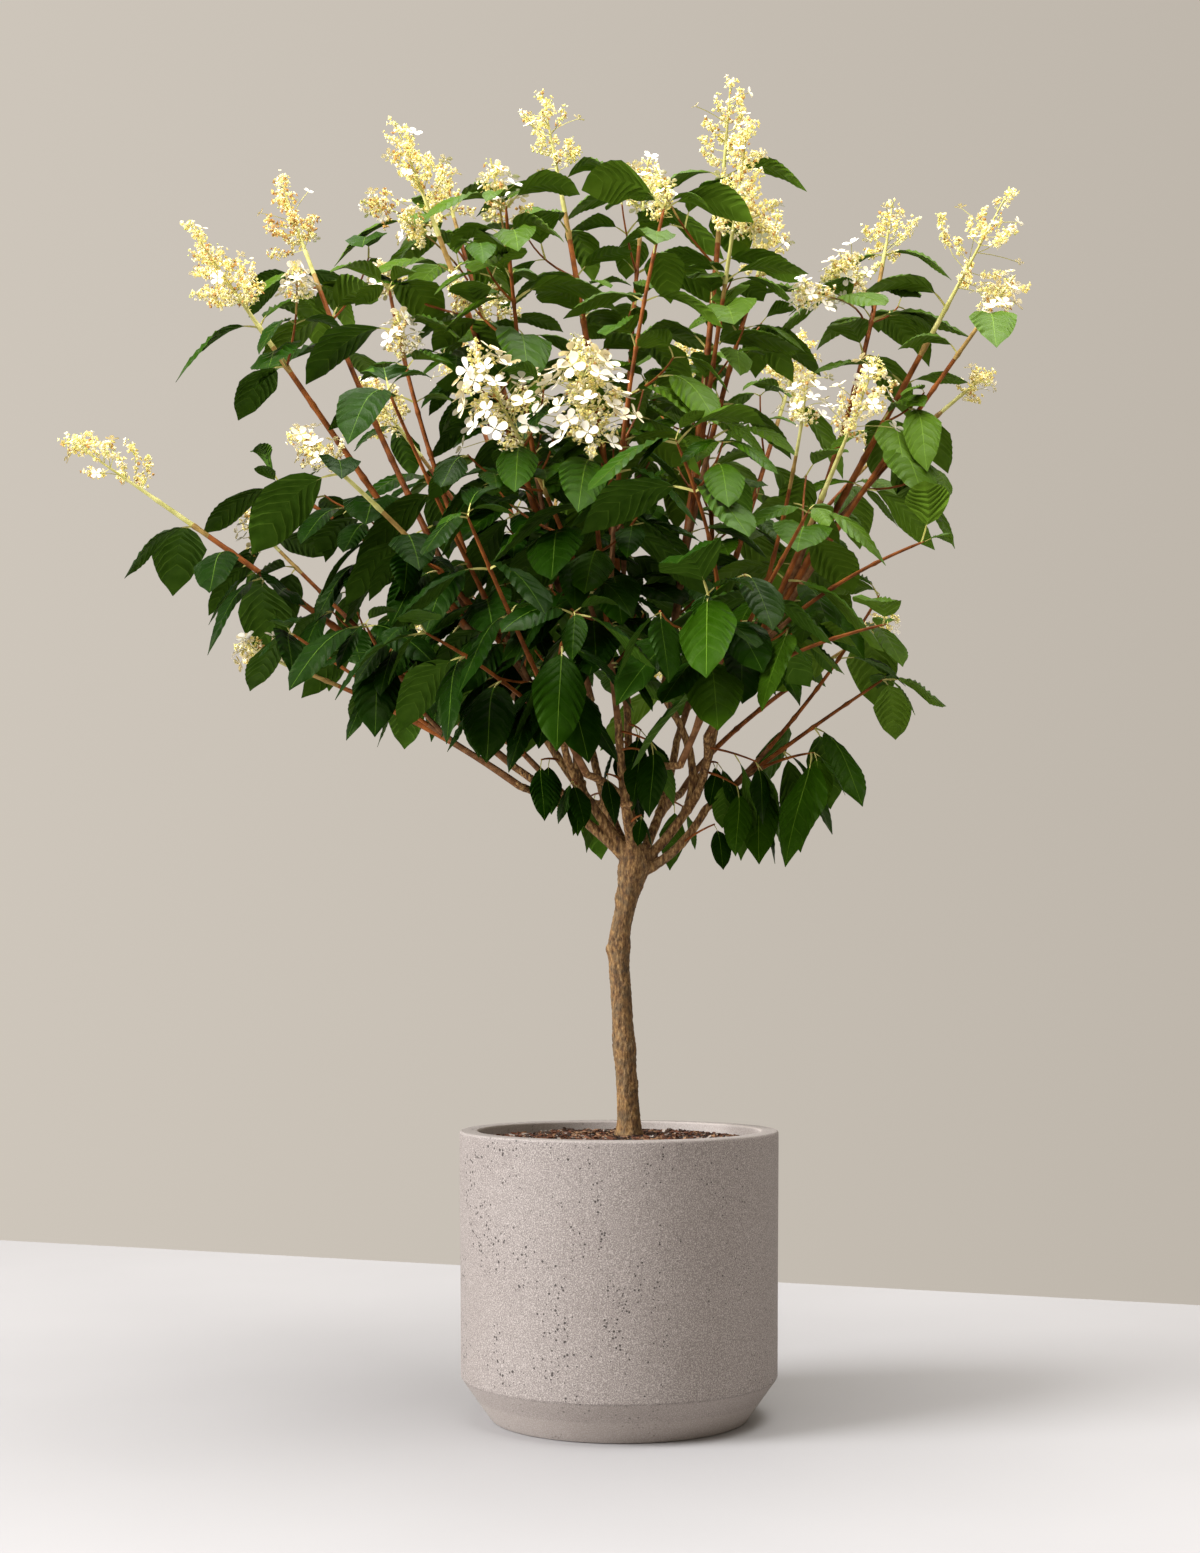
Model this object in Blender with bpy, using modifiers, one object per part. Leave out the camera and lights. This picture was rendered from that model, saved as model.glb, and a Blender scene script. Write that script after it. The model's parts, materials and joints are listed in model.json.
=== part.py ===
"""A panicle hydrangea grown as a small tree on one trunk, standing in a round cement pot.

Units are metres and +Z is up. The origin is the centre of the pot's underside. The side of the
plant that shows best faces -Y. The trunk rises from the potting mix to a knuckle, boughs leave the
knuckle and each other, and every bough ends in one mass of foliage: shoots with pairs of leaves and
a cone of blossom at the tip. Each mass keeps to its own wedge of the crown, seen from the knuckle.
"""

import math
import random
from collections import namedtuple

import bmesh
import bpy
from mathutils import Vector
from mathutils.bvhtree import BVHTree

# Meshes that touch keep this gap
GAP = 0.0003
# Corners this close are one corner
WELD = 0.00001
UP = Vector((0, 0, 1))

# The pot: a straight drum with a bevelled foot
POT_HEIGHT = 0.333
POT_RIM_RADIUS = 0.190
POT_SHOULDER_RADIUS = 0.1865
POT_SHOULDER_HEIGHT = 0.048
POT_FOOT_RADIUS = 0.151
POT_WALL = 0.022
POT_FLOOR = 0.024
POT_EDGE = 0.002
POT_SEGMENTS = 40

# The potting mix: a low dome with a flat crown that the trunk stands on
MIX_EDGE_DROP = 0.012
MIX_CROWN_DROP = 0.007
MIX_CROWN_RADIUS = 0.055
MIX_SEGMENTS = 24
MIX_TOP = POT_HEIGHT - MIX_CROWN_DROP

# The trunk: how far it leans to +X at each height above the mix. It starts upright.
TRUNK_LEAN = (
    (0.000, 0.012),
    (0.022, 0.012),
    (0.190, 0.001),
    (0.235, 0.000),
    (0.300, 0.014),
    (0.350, 0.024),
)
TRUNK_HEIGHT = 0.350
TRUNK_STEP = 0.0184
TRUNK_RADII = (0.0134, 0.0122)
TRUNK_SIDES = 10
FLARE = 0.0052
FLARE_HEIGHT = 0.012
TRUNK_TIP_RADIUS = 0.0090
# Swellings of the trunk: height, how far each stands proud, half its height
SWELLINGS = ((0.104, 0.0016, 0.013), (0.226, 0.0013, 0.012), (0.320, 0.0070, 0.024))

# The knuckle's centre, where the wedges of the crown meet, and the round lumps on it
HEAD = Vector((0.020, 0.0, MIX_TOP + 0.322))
LUMPS = 5
LUMP_SIDES = 8
LUMP_RADIUS = 0.0095
LUMP_OFFSET = 0.0125

# Boughs and shoots: their radii from foot to tip, and how far along they hold their first heading
BOUGH_RADII = (0.0074, 0.0050)
FORKED_BOUGH_RADII = (0.0060, 0.0046)
LEADER_RADII = (0.0046, 0.0022)
SIDE_SHOOT_RADII = (0.0036, 0.0020)
BOUGH_SWEEP = 0.5
LEADER_SWEEP = 0.4
SIDE_SHOOT_SWEEP = 0.25
BOUGH_SIDES = 6
BOUGH_STEPS = 5
SHOOT_STEPS = 4
STRAIGHT_END = 0.010
SIDE_SHOOT_SPACING = 0.12

# Leaves stand in pairs, each pair turned a right angle from the last
NODE_SPACING = 0.057
FIRST_NODE = 0.030
LAST_NODE = 0.006
LEAF_LENGTH = (0.104, 0.136)
LEAF_SLIMNESS = 0.56
LEAF_THICKNESS = 0.0018
LEAF_CUP = 0.10
LEAF_WIDEST = 0.45
LEAF_ROOT = 0.0003
LEAF_NECK = 0.09
LEAF_CLEARANCE = 0.004
# Points beside the midrib, to hold against a wedge: share of the length, share of the width
LEAF_OUTLINE = ((0.22, 0.5), (LEAF_WIDEST, 1.0), (0.73, 0.5))
# Leaves hang most at the first of these heights, and stand out at the second
CROWN_HEIGHTS = (0.80, 1.40)
LEAF_LIFT = math.radians(35)
LEAF_LEVELLING = 0.6
LEAF_HANG = (-0.80, 0.00)
LEAF_DROOP = (0.80, 0.55)
# How much leaves differ: the tip's height, the roll about the midrib, the share of the droop
LEAF_TILT = 0.10
LEAF_ROLL = 0.40
DROOP_SPREAD = 0.30
# A leaf that doesn't fit is swept towards its shoot's tip by these degrees, and shortened
LEAF_TRIES = ((0, 1.0), (12, 0.95), (24, 0.90), (-14, 0.95), (-28, 0.90), (30, 0.78), (8, 0.72))
# A shoot's wedge of the crown ends this far beyond its tip
WEDGE_MARGIN = 0.08
# Room in the seeds of the leaves' draws
MOST_SHOOTS = 10
MOST_NODES = 100

# Blossom
BLOOM_WIDTH = 0.66
BLOOM_SHOULDER = 1.30
BLOOM_TAPER = 0.80
BLOOM_SEGMENTS = 6
BLOOM_RINGS = 4
BLOOM_OVERHANG = 0.04

# bearing: degrees from +X towards +Y, so 270 is the front. rise: degrees above level.
# reach: from the knuckle to the shoot's tip. bloom: the length of its cone of blossom, or 0.
Shoot = namedtuple("Shoot", "bearing rise reach bloom")
# parent: the limb that the bough leaves. fork: how far along it, or the height above the knuckle's
# centre on the trunk. start: from the knuckle to the bough's tip. bow: how many degrees flatter the
# bough sets out. bare: how far above the knuckle the leaves begin.
Mass = namedtuple("Mass", "parent fork start bow bare shoots")

CROWN = {
    "far_left": Mass("trunk", -0.002, 0.20, -6, 0.18, (
        Shoot(180, 37, 0.88, 0.120),
        Shoot(168, 42, 0.70, 0.075),
    )),
    "left_top": Mass("trunk", 0.006, 0.20, 4, 0.18, (
        Shoot(185, 55, 0.96, 0.135),
        Shoot(162, 62, 1.05, 0.130),
        Shoot(174, 47, 0.66, 0.000),
    )),
    "crest_mid": Mass("trunk", 0.014, 0.20, 6, 0.19, (
        Shoot(146, 82, 1.02, 0.115),
        Shoot(84, 77, 1.01, 0.090),
    )),
    "right_top": Mass("trunk", 0.000, 0.21, 24, 0.18, (
        Shoot(0, 61, 0.97, 0.150),
        Shoot(354, 57, 0.86, 0.070),
        Shoot(24, 67, 0.97, 0.090),
        Shoot(18, 53, 0.83, 0.070),
    )),
    "right_low": Mass("trunk", -0.010, 0.12, 18, 0.09, (
        Shoot(8, 28, 0.46, 0.000),
        Shoot(6, 41, 0.54, 0.000),
        Shoot(346, 24, 0.30, 0.000),
    )),
    "front_high": Mass("trunk", 0.002, 0.19, 14, 0.19, (
        Shoot(259, 59, 0.64, 0.130),
        Shoot(236, 59, 0.65, 0.130),
        Shoot(280, 76, 0.78, 0.000),
    )),
    "back_left": Mass("trunk", 0.004, 0.20, 16, 0.18, (
        Shoot(124, 60, 0.92, 0.115),
        Shoot(144, 56, 0.83, 0.100),
        Shoot(101, 53, 0.78, 0.095),
    )),
    "back_right": Mass("trunk", 0.000, 0.20, 16, 0.18, (
        Shoot(58, 59, 0.93, 0.125),
        Shoot(38, 52, 0.80, 0.090),
        Shoot(80, 63, 0.90, 0.100),
    )),
    "left_low": Mass("far_left", 0.55, 0.18, 8, 0.17, (
        Shoot(176, 29, 0.57, 0.070),
        Shoot(192, 33, 0.50, 0.000),
        Shoot(212, 36, 0.45, 0.000),
    )),
    "left_mid": Mass("left_top", 0.45, 0.19, 8, 0.18, (
        Shoot(202, 49, 0.66, 0.070),
        Shoot(222, 54, 0.64, 0.000),
        Shoot(196, 66, 0.76, 0.000),
    )),
    "crest_left": Mass("left_top", 0.55, 0.22, 4, 0.18, (
        Shoot(187, 72, 0.97, 0.130),
        Shoot(142, 71, 1.02, 0.095),
        Shoot(226, 74, 0.80, 0.000),
    )),
    "crest_right": Mass("right_top", 0.50, 0.22, 4, 0.18, (
        Shoot(0, 83, 1.00, 0.115),
        Shoot(316, 78, 0.90, 0.140),
        Shoot(34, 75, 0.90, 0.105),
    )),
    "right_mid": Mass("right_top", 0.45, 0.19, 10, 0.17, (
        Shoot(330, 61, 0.67, 0.110),
        Shoot(308, 60, 0.62, 0.060),
        Shoot(340, 46, 0.60, 0.000),
    )),
    "front_left": Mass("front_high", 0.45, 0.17, 6, 0.17, (
        Shoot(240, 44, 0.52, 0.000),
        Shoot(230, 33, 0.44, 0.000),
        Shoot(258, 37, 0.42, 0.000),
    )),
    "front_right": Mass("front_high", 0.55, 0.17, 6, 0.17, (
        Shoot(300, 45, 0.52, 0.000),
        Shoot(282, 38, 0.44, 0.000),
        Shoot(322, 36, 0.44, 0.000),
        Shoot(276, 51, 0.56, 0.000),
    )),
    "back_left_low": Mass("back_left", 0.45, 0.17, 6, 0.17, (
        Shoot(134, 38, 0.60, 0.085),
        Shoot(112, 34, 0.50, 0.000),
        Shoot(152, 34, 0.54, 0.000),
    )),
    "back_right_low": Mass("back_right", 0.45, 0.17, 6, 0.17, (
        Shoot(37, 38, 0.58, 0.070),
        Shoot(62, 35, 0.53, 0.000),
        Shoot(86, 36, 0.54, 0.085),
    )),
}

# Finishes: colour, roughness
FINISHES = {
    "cement": ((0.40, 0.35, 0.32), 0.80),
    "potting_mix": ((0.060, 0.030, 0.018), 0.95),
    "bark": ((0.155, 0.100, 0.058), 0.85),
    "foliage": ((0.045, 0.130, 0.018), 0.55),
}

Leaf = namedtuple("Leaf", "root heading side length droop")


def direction(bearing, rise):
    """The unit vector of a compass bearing and a rise above level, both in degrees."""
    turn, lift = math.radians(bearing), math.radians(rise)
    return Vector((math.cos(turn) * math.cos(lift), math.sin(turn) * math.cos(lift), math.sin(lift)))


def shoot_direction(shoot):
    return direction(shoot.bearing, shoot.rise)


def mass_axis(mass):
    """The middle of the mass's shoots, as a direction from the knuckle."""
    total = Vector()
    for shoot in mass.shoots:
        total += shoot_direction(shoot)
    return total.normalized()


def between(pair, share):
    """The value that lies this share of the way from the pair's first to its second."""
    return pair[0] + (pair[1] - pair[0]) * share


def step_points(start, control, end, steps):
    """Points on the curve that leaves start and reaches end along the control point."""
    shares = [step / steps for step in range(steps + 1)]
    return [start.lerp(control, share).lerp(control.lerp(end, share), share) for share in shares]


def along(path, share):
    """A point and the direction of travel this share of the way along a path of points."""
    place = min(max(share, 0.0), 0.9999) * (len(path) - 1)
    index = int(place)
    return path[index].lerp(path[index + 1], place - index), (path[index + 1] - path[index]).normalized()


def path_length(path):
    return sum((b - a).length for a, b in zip(path, path[1:]))


def trunk_lean(height):
    """How far the trunk stands to +X at a height above the mix."""
    for (low, lean), (high, next_lean) in zip(TRUNK_LEAN, TRUNK_LEAN[1:]):
        if height <= high:
            return between((lean, next_lean), (height - low) / (high - low))
    return TRUNK_LEAN[-1][1]


def trunk_radius(height):
    """Its taper, the flare at its foot, the swellings at old scars and at the knuckle."""
    radius = between(TRUNK_RADII, height / TRUNK_HEIGHT) + FLARE * math.exp(-height / FLARE_HEIGHT)
    for middle, proud, half in SWELLINGS:
        radius += proud * math.exp(-(((height - middle) / half) ** 2))
    return radius


def trunk_stations():
    """Points up the middle of the trunk, each with its radius. The last one closes the knuckle."""
    found = []
    steps = round(TRUNK_HEIGHT / TRUNK_STEP)
    for step in range(steps + 1):
        height = TRUNK_HEIGHT * step / steps
        radius = TRUNK_TIP_RADIUS if step == steps else trunk_radius(height)
        found.append((Vector((trunk_lean(height), 0, MIX_TOP + GAP + height)), radius))
    return found


def bough_path(name):
    """A bough's centreline, from inside its parent to its tip. Its last stretch is straight."""
    mass = CROWN[name]
    axis = mass_axis(mass)
    tip = HEAD + axis * mass.start
    root = HEAD + UP * mass.fork
    if mass.parent != "trunk":
        root = along(bough_path(mass.parent), mass.fork)[0]
    knee = tip - axis * STRAIGHT_END
    level = Vector((axis.x, axis.y, 0)).normalized()
    rise = math.asin(axis.z) - math.radians(mass.bow)
    heading = level * math.cos(rise) + UP * math.sin(rise)
    control = root + heading * (knee - root).length * BOUGH_SWEEP
    return step_points(root, control, knee, BOUGH_STEPS) + [tip]


def bough_radii(name, proud=0.0):
    """The bough's radius at each point of its path, as far proud of it as a cutter needs."""
    pair = BOUGH_RADII if CROWN[name].parent == "trunk" else FORKED_BOUGH_RADII
    count = len(bough_path(name))
    return [between(pair, index / (count - 1)) + proud for index in range(count)]


def shoot_paths(name):
    """The centrelines of a mass's shoots. The first is the leader, and the others leave it."""
    mass = CROWN[name]
    axis = mass_axis(mass)
    start = HEAD + axis * (mass.start + GAP)
    knee = start + axis * STRAIGHT_END
    tip = HEAD + shoot_direction(mass.shoots[0]) * mass.shoots[0].reach
    control = knee + axis * (tip - knee).length * LEADER_SWEEP
    leader = [start] + step_points(knee, control, tip, SHOOT_STEPS)
    paths = [leader]
    for number, shoot in enumerate(mass.shoots[1:], 1):
        tip = HEAD + shoot_direction(shoot) * shoot.reach
        fork, heading = along(leader, number * SIDE_SHOOT_SPACING)
        sweep = heading + (tip - fork).normalized()
        control = fork + sweep * (tip - fork).length * SIDE_SHOOT_SWEEP
        paths.append(step_points(fork, control, tip, SHOOT_STEPS))
    return paths


def shoot_radii(number, path):
    pair = LEADER_RADII if number == 0 else SIDE_SHOOT_RADII
    return [between(pair, index / (len(path) - 1)) for index in range(len(path))]


def square_to(heading, turn):
    """A direction at right angles to the heading, turned about it by this many radians."""
    level = heading.orthogonal() if abs(heading.z) > 0.999 else heading.cross(UP)
    level.normalize()
    return level * math.cos(turn) + heading.cross(level) * math.sin(turn)


def leaf_place(leaf, share):
    """A point on the leaf's midrib, this share of the way from its root to its tip."""
    sag = leaf.droop * leaf.length * share * share / 2
    return leaf.root + leaf.heading * leaf.length * share - UP * sag


def leaf_normal(leaf, share):
    travel = leaf.heading - UP * leaf.droop * share
    return leaf.side.cross(travel).normalized()


def grow_leaf(root, heading, turn, sweep, scale, seed):
    """A leaf that stands out from its shoot and hangs, the more so the lower it is."""
    chance = random.Random(seed)
    lift = LEAF_LIFT + math.radians(sweep)
    low, high = CROWN_HEIGHTS
    height = min(max((root.z - low) / (high - low), 0), 1)
    aim = square_to(heading, turn) * math.cos(lift) + heading * math.sin(lift)
    hang = between(LEAF_HANG, height) * math.cos(math.radians(sweep))
    aim.z = aim.z * LEAF_LEVELLING + hang + chance.uniform(-LEAF_TILT, LEAF_TILT)
    aim.normalize()
    side = UP.cross(Vector((aim.x, aim.y, 0)).normalized()) + UP * chance.uniform(-LEAF_ROLL, LEAF_ROLL)
    side = (side - aim * side.dot(aim)).normalized()
    length = between(LEAF_LENGTH, chance.random()) * scale
    droop = between(LEAF_DROOP, height) * chance.uniform(1 - DROOP_SPREAD, 1 + DROOP_SPREAD)
    return Leaf(root, aim, side, length, droop)


def leaf_nodes(name):
    """Where the mass's pairs of leaves stand: root, direction of the shoot, turn about it, seed."""
    mass = CROWN[name]
    found = []
    for number, (shoot, path) in enumerate(zip(mass.shoots, shoot_paths(name))):
        shoot_seed = list(CROWN).index(name) * MOST_SHOOTS + number
        twist = random.Random(shoot_seed).uniform(0, math.pi)
        length = path_length(path)
        last = length - max(shoot.bloom * (1 - BLOOM_OVERHANG), LAST_NODE)
        count = round((last - FIRST_NODE) / NODE_SPACING)
        for node in range(count + 1):
            root, heading = along(path, between((FIRST_NODE, last), node / count) / length)
            if root.z < HEAD.z + mass.bare:
                continue
            for half in (0, 1):
                seed = (shoot_seed * MOST_NODES + node) * 2 + half
                found.append((root, heading, twist + (node / 2 + half) * math.pi, seed))
    return found


def wedges_of_crown():
    """Each shoot's wedge: its mass, its direction from the knuckle and how far out it holds."""
    return [
        (name, shoot_direction(shoot), shoot.reach + WEDGE_MARGIN)
        for name, mass in CROWN.items()
        for shoot in mass.shoots
    ]


def in_space(name, point, wedges):
    """Whether the point lies in a wedge of the mass, clear of the other masses' wedges."""
    offset = point - HEAD
    away = offset.length
    own = [way for owner, way, end in wedges if owner == name and away + LEAF_CLEARANCE < end]
    if not own:
        return False
    nearest = max(own, key=offset.dot)
    return all(
        offset.dot(nearest - way) > LEAF_CLEARANCE / 2 * (nearest - way).length
        for owner, way, end in wedges
        if owner != name and away - LEAF_CLEARANCE < end
    )


def leaf_edges(leaf):
    """Points on a leaf's midrib and round its edge, to hold against its mass's wedges."""
    points = [leaf_place(leaf, 1.0)]
    for share, width_share in LEAF_OUTLINE:
        middle = leaf_place(leaf, share)
        half = leaf.side * leaf.length * LEAF_SLIMNESS * width_share / 2
        points += [middle, middle + half, middle - half]
    return points


def leaf_tree(leaf):
    """The leaf as two flat faces, from just off its shoot to its tip, to find what it crosses."""
    half = leaf.side * leaf.length * LEAF_SLIMNESS / 2
    middle = leaf_place(leaf, LEAF_WIDEST)
    corners = (leaf_place(leaf, LEAF_NECK), middle + half, leaf_place(leaf, 1.0), middle - half)
    return BVHTree.FromPolygons(corners, ((0, 1, 2), (0, 2, 3)))


def kept_leaves(name, wedges, obstacles):
    """The mass's leaves that keep to its wedge and cross nothing. One that can't is skipped."""
    kept, trees = [], list(obstacles)
    for root, heading, turn, seed in leaf_nodes(name):
        for sweep, scale in LEAF_TRIES:
            leaf = grow_leaf(root, heading, turn, sweep, scale, seed)
            tree = leaf_tree(leaf)
            inside = all(in_space(name, point, wedges) for point in leaf_edges(leaf))
            if inside and not any(tree.overlap(other) for other in trees):
                kept.append(leaf)
                trees.append(tree)
                break
    return kept


def finish_of(name):
    """The finish's material, made once."""
    found = bpy.data.materials.get(name)
    if found:
        return found
    colour, roughness = FINISHES[name]
    made = bpy.data.materials.new(name)
    made.use_nodes = True
    surface = made.node_tree.nodes["Principled BSDF"]
    surface.inputs["Base Color"].default_value = (*colour, 1)
    surface.inputs["Roughness"].default_value = roughness
    surface.inputs["Metallic"].default_value = 0.0
    return made


def new_object(name, mesh, collection, finish):
    obj = bpy.data.objects.new(name, mesh)
    mesh.materials.clear()
    mesh.materials.append(finish_of(finish))
    collection.objects.link(obj)
    return obj


def mesh_from(shape, name):
    """Turns a shape's faces outwards and makes it a mesh."""
    bmesh.ops.recalc_face_normals(shape, faces=shape.faces)
    mesh = bpy.data.meshes.new(name)
    shape.to_mesh(mesh)
    shape.free()
    return mesh


def applied(obj):
    """The object's mesh as it looks, with its modifiers or its curve worked out."""
    bpy.context.view_layer.update()
    graph = bpy.context.evaluated_depsgraph_get()
    mesh = bpy.data.meshes.new_from_object(obj.evaluated_get(graph))
    mesh.transform(obj.matrix_world)
    return mesh


def helper_collection(name):
    made = bpy.data.collections.new(name)
    bpy.context.scene.collection.children.link(made)
    return made


def combine(target, helpers, operation):
    """Joins the helper collection's shapes to the target, or cuts them from it, and drops them."""
    modifier = target.modifiers.new("combine", "BOOLEAN")
    modifier.operation = operation
    modifier.operand_type = "COLLECTION"
    modifier.collection = helpers
    modifier.solver = "EXACT"
    mesh = applied(target)
    target.modifiers.clear()
    target.data = mesh
    for helper in list(helpers.objects):
        bpy.data.objects.remove(helper)
    bpy.data.collections.remove(helpers)


def drop_scrap(obj):
    """Keeps the largest closed piece of the mesh, and drops the crumbs that a cut left."""
    shape = bmesh.new()
    shape.from_mesh(obj.data)
    pieces, waiting = [], set(shape.verts)
    while waiting:
        piece, front = set(), [waiting.pop()]
        while front:
            corner = front.pop()
            piece.add(corner)
            near = {edge.other_vert(corner) for edge in corner.link_edges} & waiting
            waiting -= near
            front.extend(near)
        pieces.append(piece)
    largest = max(pieces, key=len)
    crumbs = [corner for corner in shape.verts if corner not in largest]
    bmesh.ops.delete(shape, geom=crumbs, context="VERTS")
    shape.to_mesh(obj.data)
    shape.free()


def mesh_tree(objects):
    """The objects' faces, to find what crosses them."""
    corners, faces = [], []
    for obj in objects:
        first = len(corners)
        corners += [corner.co.copy() for corner in obj.data.vertices]
        faces += [[first + index for index in face.vertices] for face in obj.data.polygons]
    return BVHTree.FromPolygons(corners, faces)


def triangle_section():
    """The three-sided section that the shoots are drawn with."""
    curve = bpy.data.curves.new("triangle_section", "CURVE")
    curve.dimensions = "2D"
    curve.fill_mode = "NONE"
    spline = curve.splines.new("POLY")
    spline.points.add(2)
    spline.use_cyclic_u = True
    for corner, point in enumerate(spline.points):
        turn = math.tau * corner / 3
        point.co = (math.cos(turn), math.sin(turn), 0, 1)
    section = bpy.data.objects.new("triangle_section", curve)
    section.hide_render = True
    section.display_type = "WIRE"
    bpy.context.scene.collection.objects.link(section)
    return section


def tube(name, path, radii, sides, collection, finish, section=None):
    """A limb drawn along a path, as thick at each point as radii says, with closed ends."""
    curve = bpy.data.curves.new(name, "CURVE")
    curve.dimensions = "3D"
    curve.use_fill_caps = True
    if section:
        curve.bevel_mode = "OBJECT"
        curve.bevel_object = section
    else:
        curve.bevel_depth = 1.0
        curve.bevel_resolution = (sides - 4) // 2
    spline = curve.splines.new("POLY")
    spline.points.add(len(path) - 1)
    for point, place, radius in zip(spline.points, path, radii):
        point.co = (*place, 1)
        point.radius = radius
    drawn = bpy.data.objects.new(name + "_line", curve)
    collection.objects.link(drawn)
    mesh = applied(drawn)
    bpy.data.objects.remove(drawn)
    shape = bmesh.new()
    shape.from_mesh(mesh)
    bmesh.ops.remove_doubles(shape, verts=shape.verts, dist=WELD)
    return new_object(name, mesh_from(shape, name), collection, finish)


def turned(name, profile, segments, collection, finish):
    """A shape turned about Z, from a profile that runs down its outer side and back up inside."""
    shape = bmesh.new()
    corners = [shape.verts.new((radius, 0, height)) for radius, height in profile]
    for first, second in zip(corners, corners[1:]):
        shape.edges.new((first, second))
    obj = new_object(name, mesh_from(shape, name), collection, finish)
    screw = obj.modifiers.new("turn", "SCREW")
    screw.axis = "Z"
    screw.angle = math.tau
    screw.steps = screw.render_steps = segments
    screw.use_merge_vertices = True
    screw.merge_threshold = WELD
    return obj


def make_pot(collection):
    inside = POT_RIM_RADIUS - POT_WALL
    inside_corner = POT_SHOULDER_HEIGHT + POT_WALL / 2
    profile = [
        (0, POT_FLOOR),
        (POT_FOOT_RADIUS - POT_WALL, POT_FLOOR),
        (inside - POT_EDGE, inside_corner),
        (inside, POT_HEIGHT - POT_EDGE),
        (inside + POT_EDGE, POT_HEIGHT),
        (POT_RIM_RADIUS - POT_EDGE, POT_HEIGHT),
        (POT_RIM_RADIUS, POT_HEIGHT - POT_EDGE),
        (POT_SHOULDER_RADIUS, POT_SHOULDER_HEIGHT + 3 * POT_EDGE),
        (POT_SHOULDER_RADIUS - POT_EDGE, POT_SHOULDER_HEIGHT - POT_EDGE),
        (POT_FOOT_RADIUS + POT_EDGE, POT_EDGE),
        (POT_FOOT_RADIUS, 0),
        (0, 0),
    ]
    return turned("pot", profile, POT_SEGMENTS, collection, "cement")


def make_potting_mix(collection):
    """The mix fills the pot and lies a hair inside its wall and above its floor."""
    inside = POT_RIM_RADIUS - POT_WALL - 3 * GAP
    profile = [
        (0, MIX_TOP),
        (MIX_CROWN_RADIUS, MIX_TOP),
        (inside - POT_EDGE, POT_HEIGHT - MIX_EDGE_DROP),
        (inside - POT_EDGE - GAP, POT_SHOULDER_HEIGHT + POT_WALL / 2),
        (POT_FOOT_RADIUS - POT_WALL - 3 * GAP, POT_FLOOR + GAP),
        (0, POT_FLOOR + GAP),
    ]
    return turned("potting_mix", profile, MIX_SEGMENTS, collection, "potting_mix")


def make_trunk(collection, name="trunk", proud=0.0):
    """The trunk with the lumps of its knuckle, as far proud as a cutter needs."""
    stations = trunk_stations()
    radii = [radius + proud for _, radius in stations]
    trunk = tube(name, [place for place, _ in stations], radii, TRUNK_SIDES, collection, "bark")
    lumps = helper_collection(name + "_lumps")
    for number in range(LUMPS):
        turn = math.tau * (number + 0.5) / LUMPS
        shape = bmesh.new()
        radius = LUMP_RADIUS + proud
        bmesh.ops.create_uvsphere(shape, u_segments=LUMP_SIDES, v_segments=LUMP_SIDES // 2, radius=radius)
        outward = Vector((math.cos(turn), math.sin(turn), 0)) * LUMP_OFFSET
        offset = HEAD + outward - UP * LUMP_RADIUS * (number % 2)
        bmesh.ops.translate(shape, verts=shape.verts, vec=offset)
        new_object(f"{name}_lump_{number}", mesh_from(shape, name), lumps, "bark")
    combine(trunk, lumps, "UNION")
    return trunk


def make_bough(name, collection):
    """A bough, cut back a hair clear of the trunk and of every bough before it."""
    bough = tube("bough_" + name, bough_path(name), bough_radii(name), BOUGH_SIDES, collection, "bark")
    cutters = helper_collection(name + "_seat")
    make_trunk(cutters, name + "_seat_trunk", GAP)
    for other in list(CROWN)[: list(CROWN).index(name)]:
        radii = bough_radii(other, GAP)
        tube(f"{name}_seat_{other}", bough_path(other), radii, BOUGH_SIDES, cutters, "bark")
    combine(bough, cutters, "DIFFERENCE")
    drop_scrap(bough)
    return bough


def leaf_solid(name, leaf, collection):
    """A thin leaf: an eight-faced body drawn out along the midrib and cupped at its edges."""
    shape = bmesh.new()
    bmesh.ops.create_uvsphere(shape, u_segments=4, v_segments=2, radius=1.0)
    width = leaf.length * LEAF_SLIMNESS
    for corner in shape.verts:
        lengthwise, across, deep = corner.co
        share = LEAF_WIDEST
        if abs(lengthwise) > 0.5:
            share = 1.0 if lengthwise > 0 else LEAF_ROOT / leaf.length
        proud = deep * LEAF_THICKNESS / 2 + abs(across) * LEAF_CUP * width
        corner.co = leaf_place(leaf, share) + leaf.side * across * width / 2
        corner.co += leaf_normal(leaf, share) * proud
    return new_object(name, mesh_from(shape, name), collection, "foliage")


def bloom_solid(name, path, shoot, collection):
    """A cone of blossom round the last stretch of a shoot, blunt at its foot."""
    tip, heading = along(path, 1.0)
    shape = bmesh.new()
    bmesh.ops.create_uvsphere(shape, u_segments=BLOOM_SEGMENTS, v_segments=BLOOM_RINGS, radius=1.0)
    across = square_to(heading, 0.0)
    deep = heading.cross(across)
    for corner in shape.verts:
        height = (1 + corner.co.z) / 2
        radius = shoot.bloom * BLOOM_WIDTH / 2 * (BLOOM_SHOULDER - BLOOM_TAPER * height)
        middle = tip + heading * shoot.bloom * (height - 1 + BLOOM_OVERHANG)
        corner.co = middle + (across * corner.co.x + deep * corner.co.y) * radius
    return new_object(name, mesh_from(shape, name), collection, "foliage")


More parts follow.
